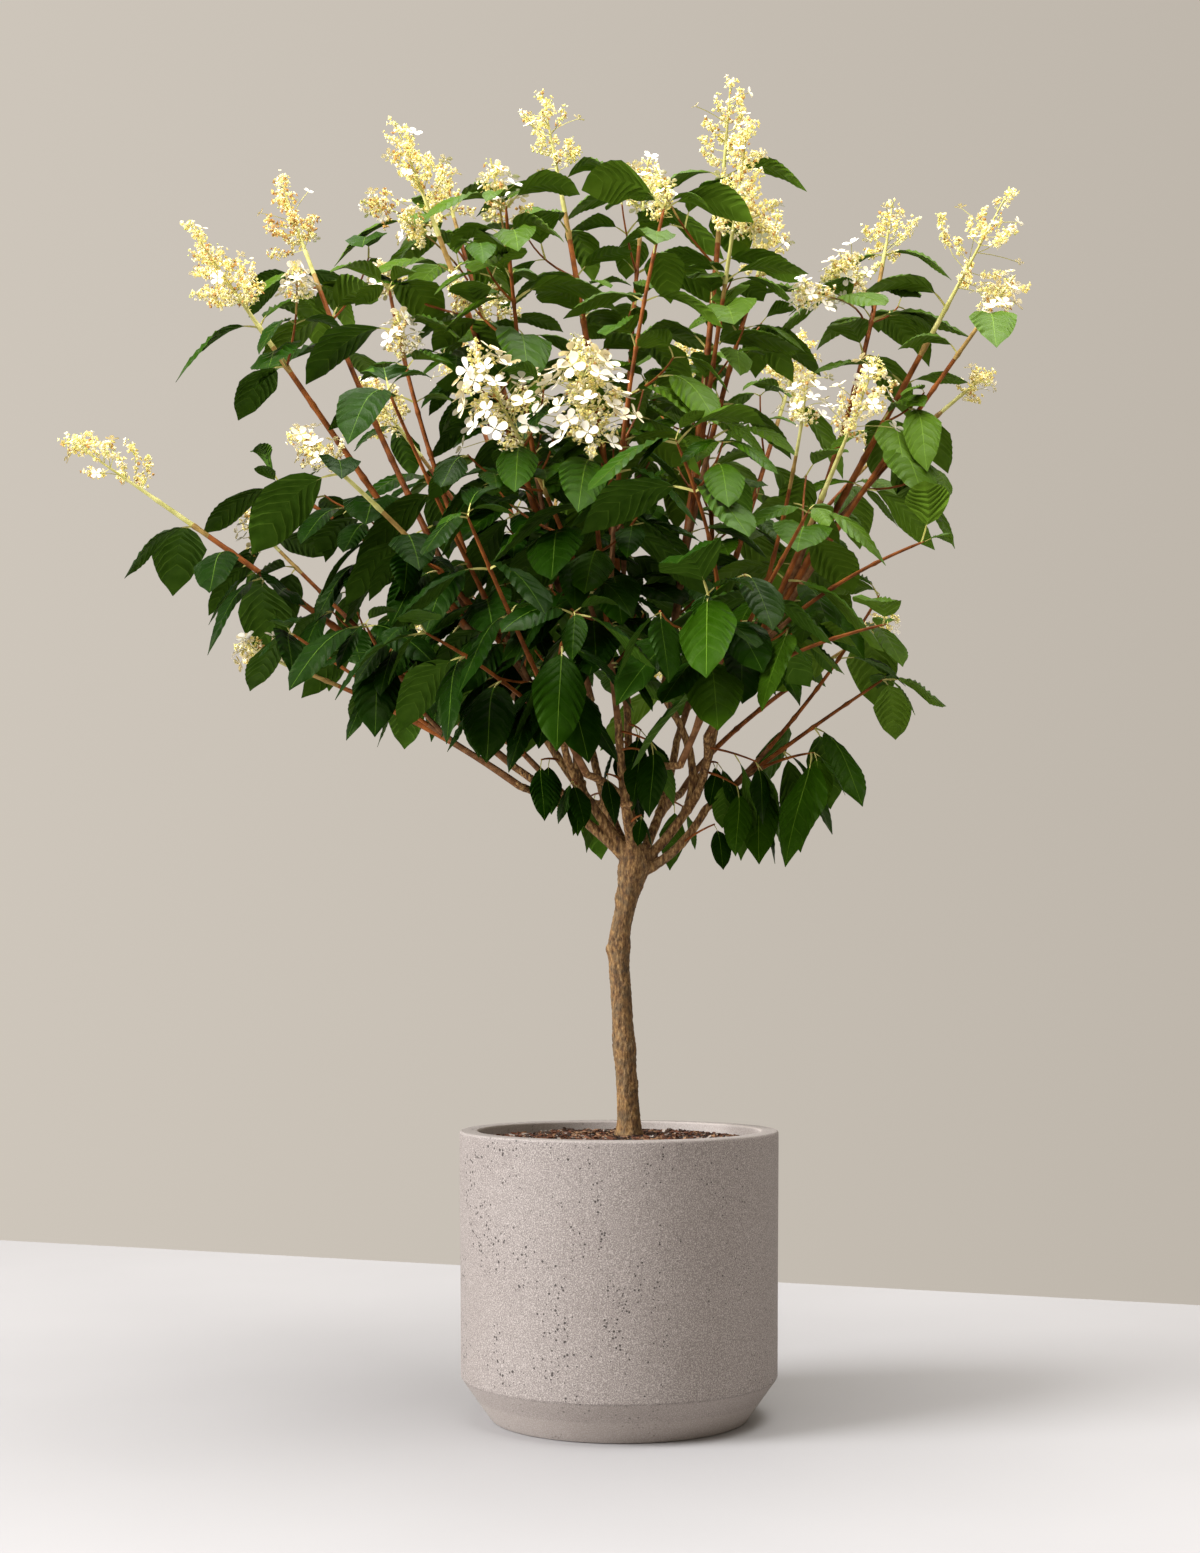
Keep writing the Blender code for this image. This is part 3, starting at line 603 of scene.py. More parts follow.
class Heap:
    """Points, faces and finishes of many small shapes, which become one joined mesh."""

    def __init__(self):
        self.points, self.faces, self.finishes, self.count = [], [], [], 0

    def add(self, points, faces, finish):
        """Adds a shape. Finish is the place of one finish in the piece's list, or one for each face."""
        self.points.append(np.asarray(points, float).reshape(-1, 3))
        self.faces += [[self.count + corner for corner in face] for face in faces]
        self.finishes += [finish] * len(faces) if isinstance(finish, int) else list(finish)
        self.count += len(self.points[-1])

    def piece(self, name, finishes, sharp=math.radians(65)):
        """The shapes as one object, smooth but for edges that turn by more than sharp."""
        mesh = bpy.data.meshes.new(name)
        mesh.from_pydata(np.concatenate(self.points), [], self.faces)
        for finish in finishes:
            mesh.materials.append(finish)
        mesh.polygons.foreach_set("material_index", self.finishes)
        mesh.shade_smooth()
        mesh.set_sharp_from_angle(angle=sharp)
        obj = bpy.data.objects.new(name, mesh)
        bpy.context.scene.collection.objects.link(obj)
        return obj


def unit(rows):
    """Each row of an array as a unit vector."""
    return rows / np.maximum(np.linalg.norm(rows, axis=-1, keepdims=True), TINY)


def tube(path, radii, sides):
    """Rings of points round a path, and the faces that close them into one body."""
    path = np.array(path, float)
    radii = np.array(radii, float)[:, None, None]
    travel = unit(np.gradient(path, axis=0))
    spare = np.eye(3)[np.argmin(np.abs(travel.mean(axis=0)))]
    across = unit(np.cross(travel, spare))
    deep = np.cross(travel, across)
    turns = np.arange(sides) * math.tau / sides
    ring = np.cos(turns)[None, :, None] * across[:, None] + np.sin(turns)[None, :, None] * deep[:, None]
    return (path[:, None] + ring * radii).reshape(-1, 3), tube_faces(len(path), sides)


def tube_faces(rings, sides):
    """The faces between the rings of a tube, with one across each end."""
    faces = []
    for ring in range(rings - 1):
        for side in range(sides):
            near, far = ring * sides, (ring + 1) * sides
            following = (side + 1) % sides
            faces.append((near + side, near + following, far + following, far + side))
    last = (rings - 1) * sides
    return [tuple(reversed(range(sides))), *faces, tuple(range(last, last + sides))]


def sheet_faces(rows, columns):
    """The faces of a thin sheet, row by row, each of the top's followed by the one below it, and last
    its two ends. The points are all of the top's, then the underside's without its edges."""

    def under(row, place):
        """The underside's point there. At the edges it is the top's."""
        if place in (0, columns - 1):
            return row * columns + place
        return rows * columns + row * (columns - 2) + place - 1

    faces = []
    for row in range(rows - 1):
        for place in range(columns - 1):
            corner, beyond = row * columns + place, row + 1
            faces.append((corner, corner + columns, corner + columns + 1, corner + 1))
            below = under(row, place), under(row, place + 1)
            faces.append((*below, under(beyond, place + 1), under(beyond, place)))
    for row, order in ((0, -1), (rows - 1, 1)):
        loop = [under(row, place) for place in range(columns)]
        loop += [row * columns + place for place in range(columns - 2, 0, -1)]
        faces.append(tuple(loop[::order]))
    return faces


def ripples(place, waves):
    """How high a surface's waves stand at a place: for each, how many to a metre and how high."""
    return sum(noise.noise(place * rate) * height for rate, height in waves)


# Limbs


def trunk_lean(height):
    """How far the trunk stands to +X at a height above the mix, with its bends eased."""
    total = 0.0
    for step in EASE_STEPS:
        place = min(max(height + step * BEND_EASE, 0), TRUNK_HEIGHT)
        for (low, lean), (high, next_lean) in zip(TRUNK_LEAN, TRUNK_LEAN[1:]):
            if low <= place <= high:
                total += between((lean, next_lean), (place - low) / (high - low))
                break
    return total / len(EASE_STEPS)


def trunk_radius(height):
    """Its taper, the flare at its foot, the swellings at old scars and at the knuckle."""
    radius = between(TRUNK_RADII, height / TRUNK_HEIGHT) + FLARE * math.exp(-height / FLARE_HEIGHT)
    for middle, proud, half in SWELLINGS:
        radius += proud * math.exp(-(((height - middle) / half) ** 2))
    return radius


def bough_path(name, steps=BOUGH_STEPS):
    """A bough's centreline, from inside its parent to its tip. Its last stretch is straight."""
    mass = CROWN[name]
    axis = mass_axis(mass)
    tip = HEAD + axis * mass.start
    root = HEAD + UP * mass.fork
    if mass.parent != "trunk":
        root = along(bough_path(mass.parent, steps), mass.fork)[0]
    knee = tip - axis * STRAIGHT_END
    level = Vector((axis.x, axis.y, 0)).normalized()
    rise = math.asin(axis.z) - math.radians(mass.bow)
    heading = level * math.cos(rise) + UP * math.sin(rise)
    control = root + heading * (knee - root).length * BOUGH_SWEEP
    return step_points(root, control, knee, steps) + [tip]


def shoot_paths(name):
    """The centrelines of a mass's shoots. The first is the leader, and the others leave it."""
    mass = CROWN[name]
    axis = mass_axis(mass)
    start = HEAD + axis * (mass.start - STRAIGHT_END)
    knee = HEAD + axis * (mass.start + STRAIGHT_END)
    tip = HEAD + shoot_direction(mass.shoots[0]) * mass.shoots[0].reach
    control = knee + axis * (tip - knee).length * LEADER_SWEEP
    leader = [start] + step_points(knee, control, tip, SHOOT_STEPS)
    paths = [leader]
    for number, shoot in enumerate(mass.shoots[1:], 1):
        tip = HEAD + shoot_direction(shoot) * shoot.reach
        fork, heading = along(leader, number * SIDE_SHOOT_SPACING)
        sweep = heading + (tip - fork).normalized()
        control = fork + sweep * (tip - fork).length * SIDE_SHOOT_SWEEP
        paths.append(step_points(fork, control, tip, SHOOT_STEPS))
    return paths


# Leaves


def leaf_place(leaf, share):
    """A point on the leaf's midrib, this share of the way from its root to its tip."""
    sag = leaf.droop * leaf.length * share * share / 2
    return leaf.root + leaf.heading * leaf.length * share - UP * sag


def leaf_tree(leaf):
    """The leaf as two flat faces, from just off its shoot to its tip, to find what it crosses."""
    half = leaf.side * leaf.length * LEAF_SLIMNESS / 2
    middle = leaf_place(leaf, 0.5)
    corners = (leaf_place(leaf, LEAF_CLEAR_FROM), middle + half, leaf_place(leaf, 1.0), middle - half)
    return BVHTree.FromPolygons(corners, ((0, 1, 2), (0, 2, 3)))


def grow_leaf(root, heading, turn, sweep, scale, seed, age):
    """A leaf that stands out from its shoot and hangs, the more so the lower it is.
    Age is 0 at a shoot's tip and 1 at its foot, and darkens the leaf. High up and towards +X the tint is also
    painted lighter, as painted light."""
    chance = random.Random(seed)
    lift = LEAF_LIFT + math.radians(sweep)
    low, high = CROWN_HEIGHTS
    height = min(max((root.z - low) / (high - low), 0), 1)
    aim = square_to(heading, turn) * math.cos(lift) + heading * math.sin(lift)
    first, last = OUTER_REACH
    outer = min(max((math.hypot(root.x, root.y) - first) / (last - first), 0), 1)
    hang = between(LEAF_HANG, height) - between(OUTER_HANG, height) * outer
    hang *= math.cos(math.radians(sweep))
    hang *= between(YOUNG_HANG, age)
    hang -= max(LIMP_BELOW - root.z, 0) * LIMPNESS
    aim.z = aim.z * LEAF_LEVELLING + hang + chance.uniform(-LEAF_TILT, LEAF_TILT)
    aim.normalize()
    roll = UP * chance.uniform(-1, 1) * between(LEAF_ROLL, height)
    side = UP.cross(Vector((aim.x, aim.y, 0)).normalized()) + roll
    side = (side - aim * side.dot(aim)).normalized()
    length = between(LEAF_LENGTH, chance.random()) * scale * between((1, HIGH_LEAF_SCALE), height)
    droop = between(LEAF_DROOP, height) * chance.uniform(1 - DROOP_SPREAD, 1 + DROOP_SPREAD)
    stalk = between(STALK_SHARE, chance.random())
    # Painted light: the tint is painted lighter high in the crown and towards +X, where light falls. The
    # shoot-tip part is the leaf's real age.
    youth_and_painted_light = HIGH_YOUTH_AND_LIGHT * height**HIGH_YOUTH_AND_LIGHT_POWER + TIP_YOUTH * (1 - age)
    youth_and_painted_light += PAINTED_LIGHT_TO_RIGHT * min(root.x, PAINTED_LIGHT_FARTHEST) + chance.gauss(0, YOUTH_SPREAD)
    tint = min(max(int(youth_and_painted_light * len(LEAF_TINTS)), 0), len(LEAF_TINTS) - 1)
    return Leaf(root, aim, side, length, droop, heading, stalk, tint, seed)


def inside(tip, low):
    """Whether a leaf's tip stays within the crown's form, whose underside is ragged."""
    reach, height = zip(*(LOW_UNDERSIDE if low else UNDERSIDE))
    ragged = noise.noise(tip * RAGS_PER_METRE) * UNDERSIDE_RAGGED
    lowest = np.interp(math.hypot(tip.x, tip.y), reach, height) + UNDERSIDE_TILT * tip.y + ragged
    first, last = RIGHT_LIFT_FROM
    lowest += 0 if low else RIGHT_LIFT * min(max((tip.x - first) / (last - first), 0), 1)
    height, breadth = zip(*RIGHT_FLANK)
    return tip.z > lowest and tip.x < np.interp(tip.z, height, breadth)


class Canopy:
    """The leaves kept so far, by the part of space that they lie in, to find what a new one crosses."""

    CELL = 0.15

    def __init__(self, obstacles):
        self.obstacles = obstacles
        self.cells = {}

    def cell(self, leaf):
        """The part of space that a leaf's middle lies in."""
        return tuple(int(value // self.CELL) for value in leaf_place(leaf, 0.5))

    def room(self, leaf, tree):
        """Whether the leaf crosses nothing that is there already."""
        if any(tree.overlap(other) for other in self.obstacles):
            return False
        x, y, z = self.cell(leaf)
        spread = (-1, 0, 1)
        near = [self.cells.get((x + a, y + b, z + c), ()) for a in spread for b in spread for c in spread]
        return not any(tree.overlap(other) for trees in near for other in trees)

    def block(self, shape):
        """Keeps a body's space free of leaves."""
        points, faces = shape
        middle = points.mean(axis=0)
        cell = tuple(int(value // self.CELL) for value in middle)
        tree = BVHTree.FromPolygons([Vector(point) for point in points], faces)
        self.cells.setdefault(cell, []).append(tree)

    def fit(self, root, heading, turn, seed, age, scale=1.0, tries=LEAF_TRIES, low=False):
        """The first way of growing a leaf that finds room, as a list of one or none."""
        for sweep, shrink in tries:
            leaf = grow_leaf(root, heading, turn, sweep, shrink * scale, seed, age)
            if not inside(leaf_place(leaf, 1.0), low):
                continue
            tree = leaf_tree(leaf)
            if self.room(leaf, tree):
                self.cells.setdefault(self.cell(leaf), []).append(tree)
                return [leaf]
        return []


def shoot_nodes(name, number, path):
    """Where a shoot's pairs of leaves stand: share of its length, point, direction, turn and seed."""
    mass, shoot = CROWN[name], CROWN[name].shoots[number]
    shoot_seed = list(CROWN).index(name) * MOST_SHOOTS + number
    twist = random.Random(shoot_seed).uniform(0, math.pi)
    length = path_length(path)
    last = length - max(shoot.bloom * (1 - BLOOM_OVERHANG), LAST_NODE)
    count = round((last - FIRST_NODE) / NODE_SPACING)
    for node in range(count + 1):
        share = between((FIRST_NODE, last), node / count) / length
        root, heading = along(path, share)
        if root.z > HEAD.z + mass.bare:
            yield share, root, heading, twist + node * math.pi / 2, (shoot_seed * MOST_NODES + node) * 2


def grow_twig(root, heading, turn, length):
    """A short side twig that leaves a node and turns up."""
    out = square_to(heading, turn)
    (first_out, first_on), (last_out, last_on, last_up) = TWIG_WAYS
    first, last = TWIG_STRETCHES
    middle = root + (out * first_out + heading * first_on).normalized() * length * first
    tip = middle + (out * last_out + heading * last_on + UP * last_up).normalized() * length * last
    return step_points(root, middle, tip, TWIG_STEPS)


def side_twig(root, heading, turn, seed, canopy):
    """A side twig with two pairs of small leaves, or None where none of them finds room. High in the
    crown some of these twigs flower."""
    chance = random.Random(seed)
    blooms = root.z > TWIG_BLOOM_HEIGHT and chance.random() < TWIG_BLOOM_CHANCE
    bloom = chance.uniform(*TWIG_BLOOM) if blooms else 0.0
    length = chance.uniform(*TWIG_LENGTH) + bloom * TWIG_BLOOM_STALK
    turn += chance.uniform(*TWIG_TURN) + chance.choice((0, math.pi))
    path = grow_twig(root, heading, turn, length)
    if bloom:
        canopy.block(bloom_cone(path, bloom))
    leaves = []
    for pair, place in enumerate(BLOOMING_TWIG_NODES if bloom else TWIG_NODES):
        foot, way = along(path, place)
        for half in (0, 1):
            turn = (pair / 2 + half) * math.pi + TWIG_LEAF_TURN
            scale, tries = chance.uniform(*TWIG_LEAF_SCALE), LEAF_TRIES[:TWIG_TRIES]
            leaf_seed = seed * 4 + pair * 2 + half
            leaves += canopy.fit(foot, way, turn, leaf_seed, age=TWIG_AGE, scale=scale, tries=tries)
    return (Twig(path, bloom, chance.choice(TWIG_STYLES)), leaves) if leaves else None


def flowering_sprays(name, canopy):
    """The side shoots of a mass that the photo shows in flower, each with two pairs of leaves."""
    paths = shoot_paths(name)
    for number, spray in enumerate(SPRAYS):
        if spray.mass != name:
            continue
        tip = Vector(spray.tip)
        root, heading = along(paths[spray.shoot], spray.share)
        path = step_points(root, root + heading * (tip - root).length * SPRAY_SWEEP, tip, SPRAY_STEPS)
        canopy.block(bloom_cone(path, spray.bloom))
        length = path_length(path)
        leaves = []
        for pair, below in enumerate(SPRAY_NODES):
            foot, way = along(path, 1 - (spray.bloom * SPRAY_BLOOM_FOOT + below) / length)
            for half in (0, 1):
                turn, seed = (pair / 2 + half) * math.pi, SPRAY_SEEDS + number * 4 + pair * 2 + half
                leaves += canopy.fit(foot, way, turn, seed, age=SPRAY_AGE, scale=SPRAY_SCALE)
        yield Twig(path, spray.bloom, spray.style), leaves


def sprigs(name, canopy):
    """The short leafy twigs on a bough, between the knuckle and its mass."""
    chance = random.Random(name)
    path = bough_path(name)
    placed = [sprig for sprig in SPRIGS if sprig.bough == name]
    if name != LOW_MASS:
        heading = along(path, SPRIG_SHARE)[1]
        bearing = math.degrees(math.atan2(heading.y, heading.x))
        bearing += chance.uniform(-SPRIG_TURN, SPRIG_TURN)
        spread = [chance.uniform(*pair) for pair in (SPRIG_RISE, SPRIG_LENGTH, SPRIG_SCALE)]
        placed.append(Sprig(name, SPRIG_SHARE, bearing, *spread))
    for number, sprig in enumerate(placed):
        root = along(path, sprig.share)[0]
        way = direction(sprig.bearing, sprig.rise)
        end = root + way * sprig.length - UP * SPRIG_SAG
        twig = step_points(root, root + way * sprig.length * 0.5, end, SPRIG_STEPS)
        seed = SPRIG_SEEDS + (list(CROWN).index(name) * MOST_SPRIGS + number) * 4
        leaves = []
        for leaf, (place, turn) in enumerate(SPRIG_LEAVES):
            foot, heading = along(twig, place)
            low = sprig in SPRIGS
            leaves += canopy.fit(foot, heading, turn, seed + leaf, age=1, scale=sprig.scale, low=low)
        if leaves:
            yield Twig(twig, 0.0, ""), leaves


def grow_mass(name, canopy):
    """The mass's shoots, side twigs and leaves. Twigs and leaves that find no room are skipped."""
    shoots, twigs, leaves = [], [], []
    low = name == LOW_MASS
    for number, path in enumerate(shoot_paths(name)):
        nodes, last = [], 0.0
        for share, root, heading, turn, seed in shoot_nodes(name, number, path):
            nodes.append(share)
            chance = random.Random(seed)
            fullness = np.interp(root.x, *zip(*FULLNESS)) + np.interp(root.z, *zip(*HIGHER_FULLNESS))
            if chance.random() > (LOW_FULLNESS if low else fullness) and share < LAST_STRETCH:
                continue
            for half in (0, 1):
                way = turn + half * math.pi
                grown = canopy.fit(root, heading, way, seed + half, age=1 - share, low=low)
                leaves += grown
                last = share if grown else last
            branches = chance.random() < TWIG_CHANCE and share < TWIG_SHARE and not low
            grown = side_twig(root, heading, turn, seed + TWIG_SEEDS, canopy) if branches else None
            if grown:
                twigs.append(grown[0])
                leaves += grown[1]
                last = share
        end = 1.0
        if not CROWN[name].shoots[number].bloom:
            end = min(1.0, last + TIP_STRETCH / path_length(path))
            foot, heading = along(path, end)
            for half in (0, 1):
                turn, seed = TIP_TURN + half * math.pi, TIP_SEEDS + number * 2 + half
                leaves += canopy.fit(foot, heading, turn, seed, TIP_AGE, scale=TIP_SCALE, low=low)
        if end > SHORTEST_SHOOT:
            shoots.append((number, path, nodes, end))
    for twig, few in [*flowering_sprays(name, canopy), *sprigs(name, canopy)]:
        twigs.append(twig)
        leaves += few
    return shoots, twigs, leaves


def blade_rows():
    """Rows of a blade from foot to tip: where each leaves the midrib, its pleat from -1 in a vein to
    1 between two, and whether the strip that follows it is a vein."""
    first, last = VEIN_SHARES
    gap = (last - first) / (VEINS - 1)
    rows = [(*row, False) for row in FOOT_ROWS]
    for vein in range(VEINS):
        middle = first + gap * vein
        rows += [(middle - VEIN_HALF, -1.0, True), (middle + VEIN_HALF, -1.0, False)]
        rows.append((middle + gap / 2, 1.0 if vein < VEINS - 1 else LAST_PLEAT, False))
    return rows + [(*row, False) for row in TIP_ROWS]


def blade_half_width(share):
    """Half the blade's width over its widest: rounded at the foot, drawn out at the tip."""
    peak = BLADE_RISE / (BLADE_RISE + BLADE_FALL)
    shape = (share / peak) ** BLADE_RISE * np.clip((1 - share) / (1 - peak), 0, 1) ** BLADE_FALL
    point = between((TIP_SLIMNESS, 1), np.clip((1 - share) / TIP_LENGTH, 0, 1))
    return np.maximum(shape * point, NARROWEST)


def leaf_frames(leaves):
    """What the leaves are drawn from, as arrays with one row a leaf."""
    table = np.array([
        (*leaf.root, *leaf.heading, *leaf.side, *leaf.stem, leaf.length, leaf.droop, leaf.stalk)
        for leaf in leaves
    ])
    chance, count = np.random.default_rng(leaves[0].seed), len(leaves)
    slimness = np.interp(table[:, 2], CROWN_HEIGHTS, HIGH_SLIMNESS)
    return {
        "root": table[:, 0:3], "heading": table[:, 3:6], "side": table[:, 6:9], "stem": table[:, 9:12],
        "length": table[:, 12], "droop": table[:, 13], "stalk": table[:, 14],
        "wave": chance.uniform(0, math.tau, count), "twist": chance.normal(0, LEAF_TWIST, count),
        "fold": chance.uniform(*FOLD_SPREAD, count), "curl": chance.uniform(*LEAF_CURL, count),
        "slim": chance.uniform(*SLIM_SPREAD, count) * slimness,
    }


def midrib(frames, share):
    """Points on the midribs, and the directions across and square to the leaves there.
    Share has one row a leaf, or one for all."""
    share = np.broadcast_to(share, (len(frames["length"]), np.shape(share)[-1]))[..., None]
    length = frames["length"][:, None, None]
    droop = frames["droop"][:, None, None]
    curl = frames["curl"][:, None, None]
    curled = np.clip(share - CURL_FROM, 0, 1)
    sag = droop * share**2 / 2 + curl * curled**2
    rise = STALK_RISE * share * (1 - share) ** 2
    points = frames["root"][:, None] + length * (
        frames["heading"][:, None] * share + frames["stem"][:, None] * rise - np.array(UP) * sag
    )
    slope = STALK_RISE * (1 - share) * (1 - 3 * share)
    fall = droop * share + 2 * curl * curled
    travel = unit(frames["heading"][:, None] + frames["stem"][:, None] * slope - np.array(UP) * fall)
    side = frames["side"][:, None]
    side = unit(side - travel * (side * travel).sum(-1, keepdims=True))
    normal = np.cross(travel, side)
    twist = frames["twist"][:, None, None] * share
    turned_side = side * np.cos(twist) + normal * np.sin(twist)
    return points, turned_side, np.cross(travel, turned_side)


def blade_surface(frames):
    """Points of one side of the leaves' blades from edge to edge, row by row, and the way square to
    each. The veins slant on from the midrib, and the blade is pleated between them."""
    rows = blade_rows()
    foot = np.array([row[0] for row in rows])[:, None]
    pleat = np.array([row[1] for row in rows])[:, None]
    column = np.array(BLADE_COLUMNS)[None, :]
    reach = np.abs(column)
    share = foot + VEIN_SLANT * reach**VEIN_CURVE * (1 - foot) * foot / (foot + VEIN_FOOT)
    stalk = frames["stalk"][:, None]
    points, side, normal = midrib(frames, stalk + (1 - stalk) * share.reshape(1, -1))
    half = (frames["length"] * LEAF_SLIMNESS / 2 * frames["slim"])[:, None]
    width = blade_half_width(share) * (1 + TEETH * np.where(reach == 1, pleat, 0))
    rim = (reach**2 * width).reshape(1, -1)
    onward, across = WAVE_RATES
    phase = share.reshape(1, -1) * onward + column.repeat(len(rows), 0).reshape(1, -1) * across
    wave = np.sin(frames["wave"][:, None] + phase)
    lift = FOLD * frames["fold"][:, None] * (reach * width).reshape(1, -1)
    lift = lift + (WAVE * wave - ARCH) * rim
    swell = np.interp(reach, *PLEAT_SWELL)
    pleats = PLEAT * frames["length"][:, None] * (pleat * swell * np.sqrt(width)).reshape(1, -1) / 2
    offset = (column * width).reshape(1, -1) * half
    return points + side * offset[..., None] + normal * (lift * half + pleats)[..., None], normal


def blades(frames):
    """Points of the leaves' blades: all of the top, then the underside's without its edges."""
    top, normal = blade_surface(frames)
    count = len(BLADE_COLUMNS)
    inner = [row * count + place for row in range(len(blade_rows())) for place in range(1, count - 1)]
    return np.concatenate([top, top[:, inner] - normal[:, inner] * BLADE_THICKNESS], axis=1)


def blade_faces():
    """The faces of one blade, as corners in the order of blades(), each with its kind."""
    rows, columns = blade_rows(), len(BLADE_COLUMNS)
    kinds = []
    for _, _, vein in rows[:-1]:
        kinds += ["vein" if vein else "top", "vein_under" if vein else "under"] * (columns - 1)
    return sheet_faces(len(rows), columns), kinds + ["under", "under"]


def ribs(frames):
    """Points of the leaves' stalks and midribs: three-sided tubes, stout at the shoot, fine at the tip."""
    stalk = frames["stalk"][:, None]
    stations = stalk * np.array(STALK_STATIONS), stalk + (1 - stalk) * np.array(MIDRIB_STATIONS)
    share = np.concatenate(stations, axis=1)
    points, side, normal = midrib(frames, share)
    blade = np.clip((share - stalk) / (1 - stalk), 0, 1)
    size = (frames["length"] / MIDRIB_LEAF_LENGTH)[:, None]
    radius = np.where(share < stalk, STALK_RADIUS, MIDRIB_RADIUS * (1 - blade) + MIDRIB_TIP_RADIUS) * size
    centre = points + normal * (radius * np.where(share < stalk, 0, MIDRIB_PROUD))[..., None]
    out, up = MIDRIB_CORNER
    ring = [side * out + normal * up, side * -out + normal * up, -normal]
    return np.stack([centre + way * radius[..., None] for way in ring], axis=2).reshape(len(share), -1, 3)


# Each part of a leaf: how many neighbouring tints share one finish
LEAF_PARTS = {"top": 1, "vein": 1, "rib": 2, "under": 3, "vein_under": 3, "stalk": 6}


def draw_leaves(heap, leaves):
    """Adds the leaves' blades, veins and stalks to the heap."""
    frames = leaf_frames(leaves)
    faces, kinds = blade_faces()
    rib_faces = tube_faces(len(STALK_STATIONS) + len(MIDRIB_STATIONS), 3)
    stalk_faces = 1 + 3 * len(STALK_STATIONS)
    rib_kinds = ["stalk" if face < stalk_faces else "rib" for face in range(len(rib_faces))]
    for leaf, blade, rib in zip(leaves, blades(frames), ribs(frames)):
        own, first = {}, 0
        for part, shared in LEAF_PARTS.items():
            own[part] = first + leaf.tint // shared
            first += len(LEAF_TINTS) // shared
        heap.add(blade, faces, [own[kind] for kind in kinds])
        heap.add(rib, rib_faces, [own[kind] for kind in rib_kinds])


# Shoots and twigs


def draw_shoot(heap, name, number, path, nodes, end):
    """A shoot: bark-brown at its foot, then red-brown, pale green under the blossom, with a swelling
    at each pair of leaves."""
    pair = LEADER_RADII if number == 0 else SIDE_SHOOT_RADII
    shoot = CROWN[name].shoots[number]
    bloom, stout = shoot.bloom, STOUTNESS[0] + STOUTNESS[1] * shoot.reach
    length = path_length(path)
    shares = {step / SHOOT_STEPS for step in range(SHOOT_STEPS + 1)}
    shares |= {share + offset / length for share in nodes for offset in NODE_OFFSETS}
    shares = sorted(share for share in shares if 0 <= share <= end)
    points = [along(path, share)[0] for share in shares]
    radii = []
    for share in shares:
        swell = sum(math.exp(-(((share - node) * length / NODE_HALF) ** 2)) for node in nodes)
        least, more = SHOOT_TAPER
        taper = min(1, least + more * (end - share) * length / max(bloom, SHORTEST_TAPER))
        size = between((1, stout), min(1, share / STOUT_FROM))
        radii.append((between(pair, share) * size + NODE_SWELL * swell) * taper)
    rings, faces = tube(points, radii, SHOOT_SIDES)
    chance = random.Random(name + str(number))
    wood = WOOD_SHARE + chance.uniform(0, WOOD_SPREAD)
    green = 1 - (bloom + chance.uniform(*GREEN_STRETCH)) / length if bloom else PAST_THE_TIP
    kinds = [ripeness(share, green, RIPENING / length) for share in shares[:-1]]
    kinds = [OLD_WOOD if share < wood else kind for share, kind in zip(shares, kinds)]
    by_face = [kind for kind in kinds for _ in range(SHOOT_SIDES)]
    heap.add(rings, faces, [OLD_WOOD, *by_face, kinds[-1]])


def ripeness(share, green, change):
    """The finish of a new shoot: red-brown, pale green past a place, and between the two near it."""
    return RED_BROWN if share < green - change else TURNING if share < green + change else PALE_GREEN


def draw_twig(heap, twig):
    """A side twig: red-brown, and pale green towards its tip where it flowers."""
    steps = len(twig.path) - 1
    radii = [between(TWIG_RADII, step / steps) for step in range(steps + 1)]
    rings, faces = tube(twig.path, radii, TWIG_SIDES)
    green = TWIG_GREEN_FROM if twig.bloom else PAST_THE_TIP
    kinds = [ripeness(step / steps, green, TWIG_RIPENING) for step in range(steps)]
    by_face = [kind for kind in kinds for _ in range(TWIG_SIDES)]
    heap.add(rings, faces, [RED_BROWN, *by_face, kinds[-1]])


# Blossom

# A panicle's make-up: small florets for each metre of branchlet, the shares of them that are cream,
# butter, green bud and faded, the number and size of the wide florets, how full the cone is, and the
# share of branchlets that are missing
Style = namedtuple("Style", "density mixture wide breadth fullness gaps")
STYLES = {
    "cream": Style(940, (0.40, 0.42, 0.11, 0.07), 5, 0.017, 1.06, 0.22),
    "airy": Style(820, (0.36, 0.43, 0.15, 0.06), 4, 0.015, 1.28, 0.42),
    "faded": Style(760, (0.28, 0.36, 0.06, 0.30), 4, 0.016, 1.04, 0.28),
    "white": Style(680, (0.44, 0.41, 0.09, 0.06), 34, 0.027, 1.20, 0.24),
    "pale": Style(700, (0.48, 0.34, 0.10, 0.08), 11, 0.021, 1.12, 0.26),
}
BLOOM_STYLES = {
    ("far_left", 0): "airy", ("far_left", 1): "pale", ("left_low", 0): "pale", ("left_mid", 0): "pale",
    ("front_high", 0): "white", ("front_high", 1): "white", ("right_mid", 0): "pale",
    ("right_mid", 1): "pale", ("crest_mid", 1): "pale", ("right_top", 1): "pale",
    ("left_top", 1): "faded", ("crest_mid", 0): "airy", ("right_top", 2): "airy",
    ("right_top", 0): "airy", ("crest_right", 0): "airy", ("crest_left", 1): "faded",
    ("back_left", 2): "pale",
}
FLORET_BREADTH = 0.0068
FLORET_KINDS = ("cream", "butter", "green bud", "faded", "white petal", "ivory petal")
BUD = FLORET_KINDS.index("green bud")
WHITE = FLORET_KINDS.index("white petal")
BEAD_SHARE = 0.35
# The space that a panicle takes: how far below its tip and how wide, as shares of its length
BLOOM_CONE = ((0.9, 0.30), (0.5, 0.24), (0.0, 0.05))
CONE_SIDES = 6

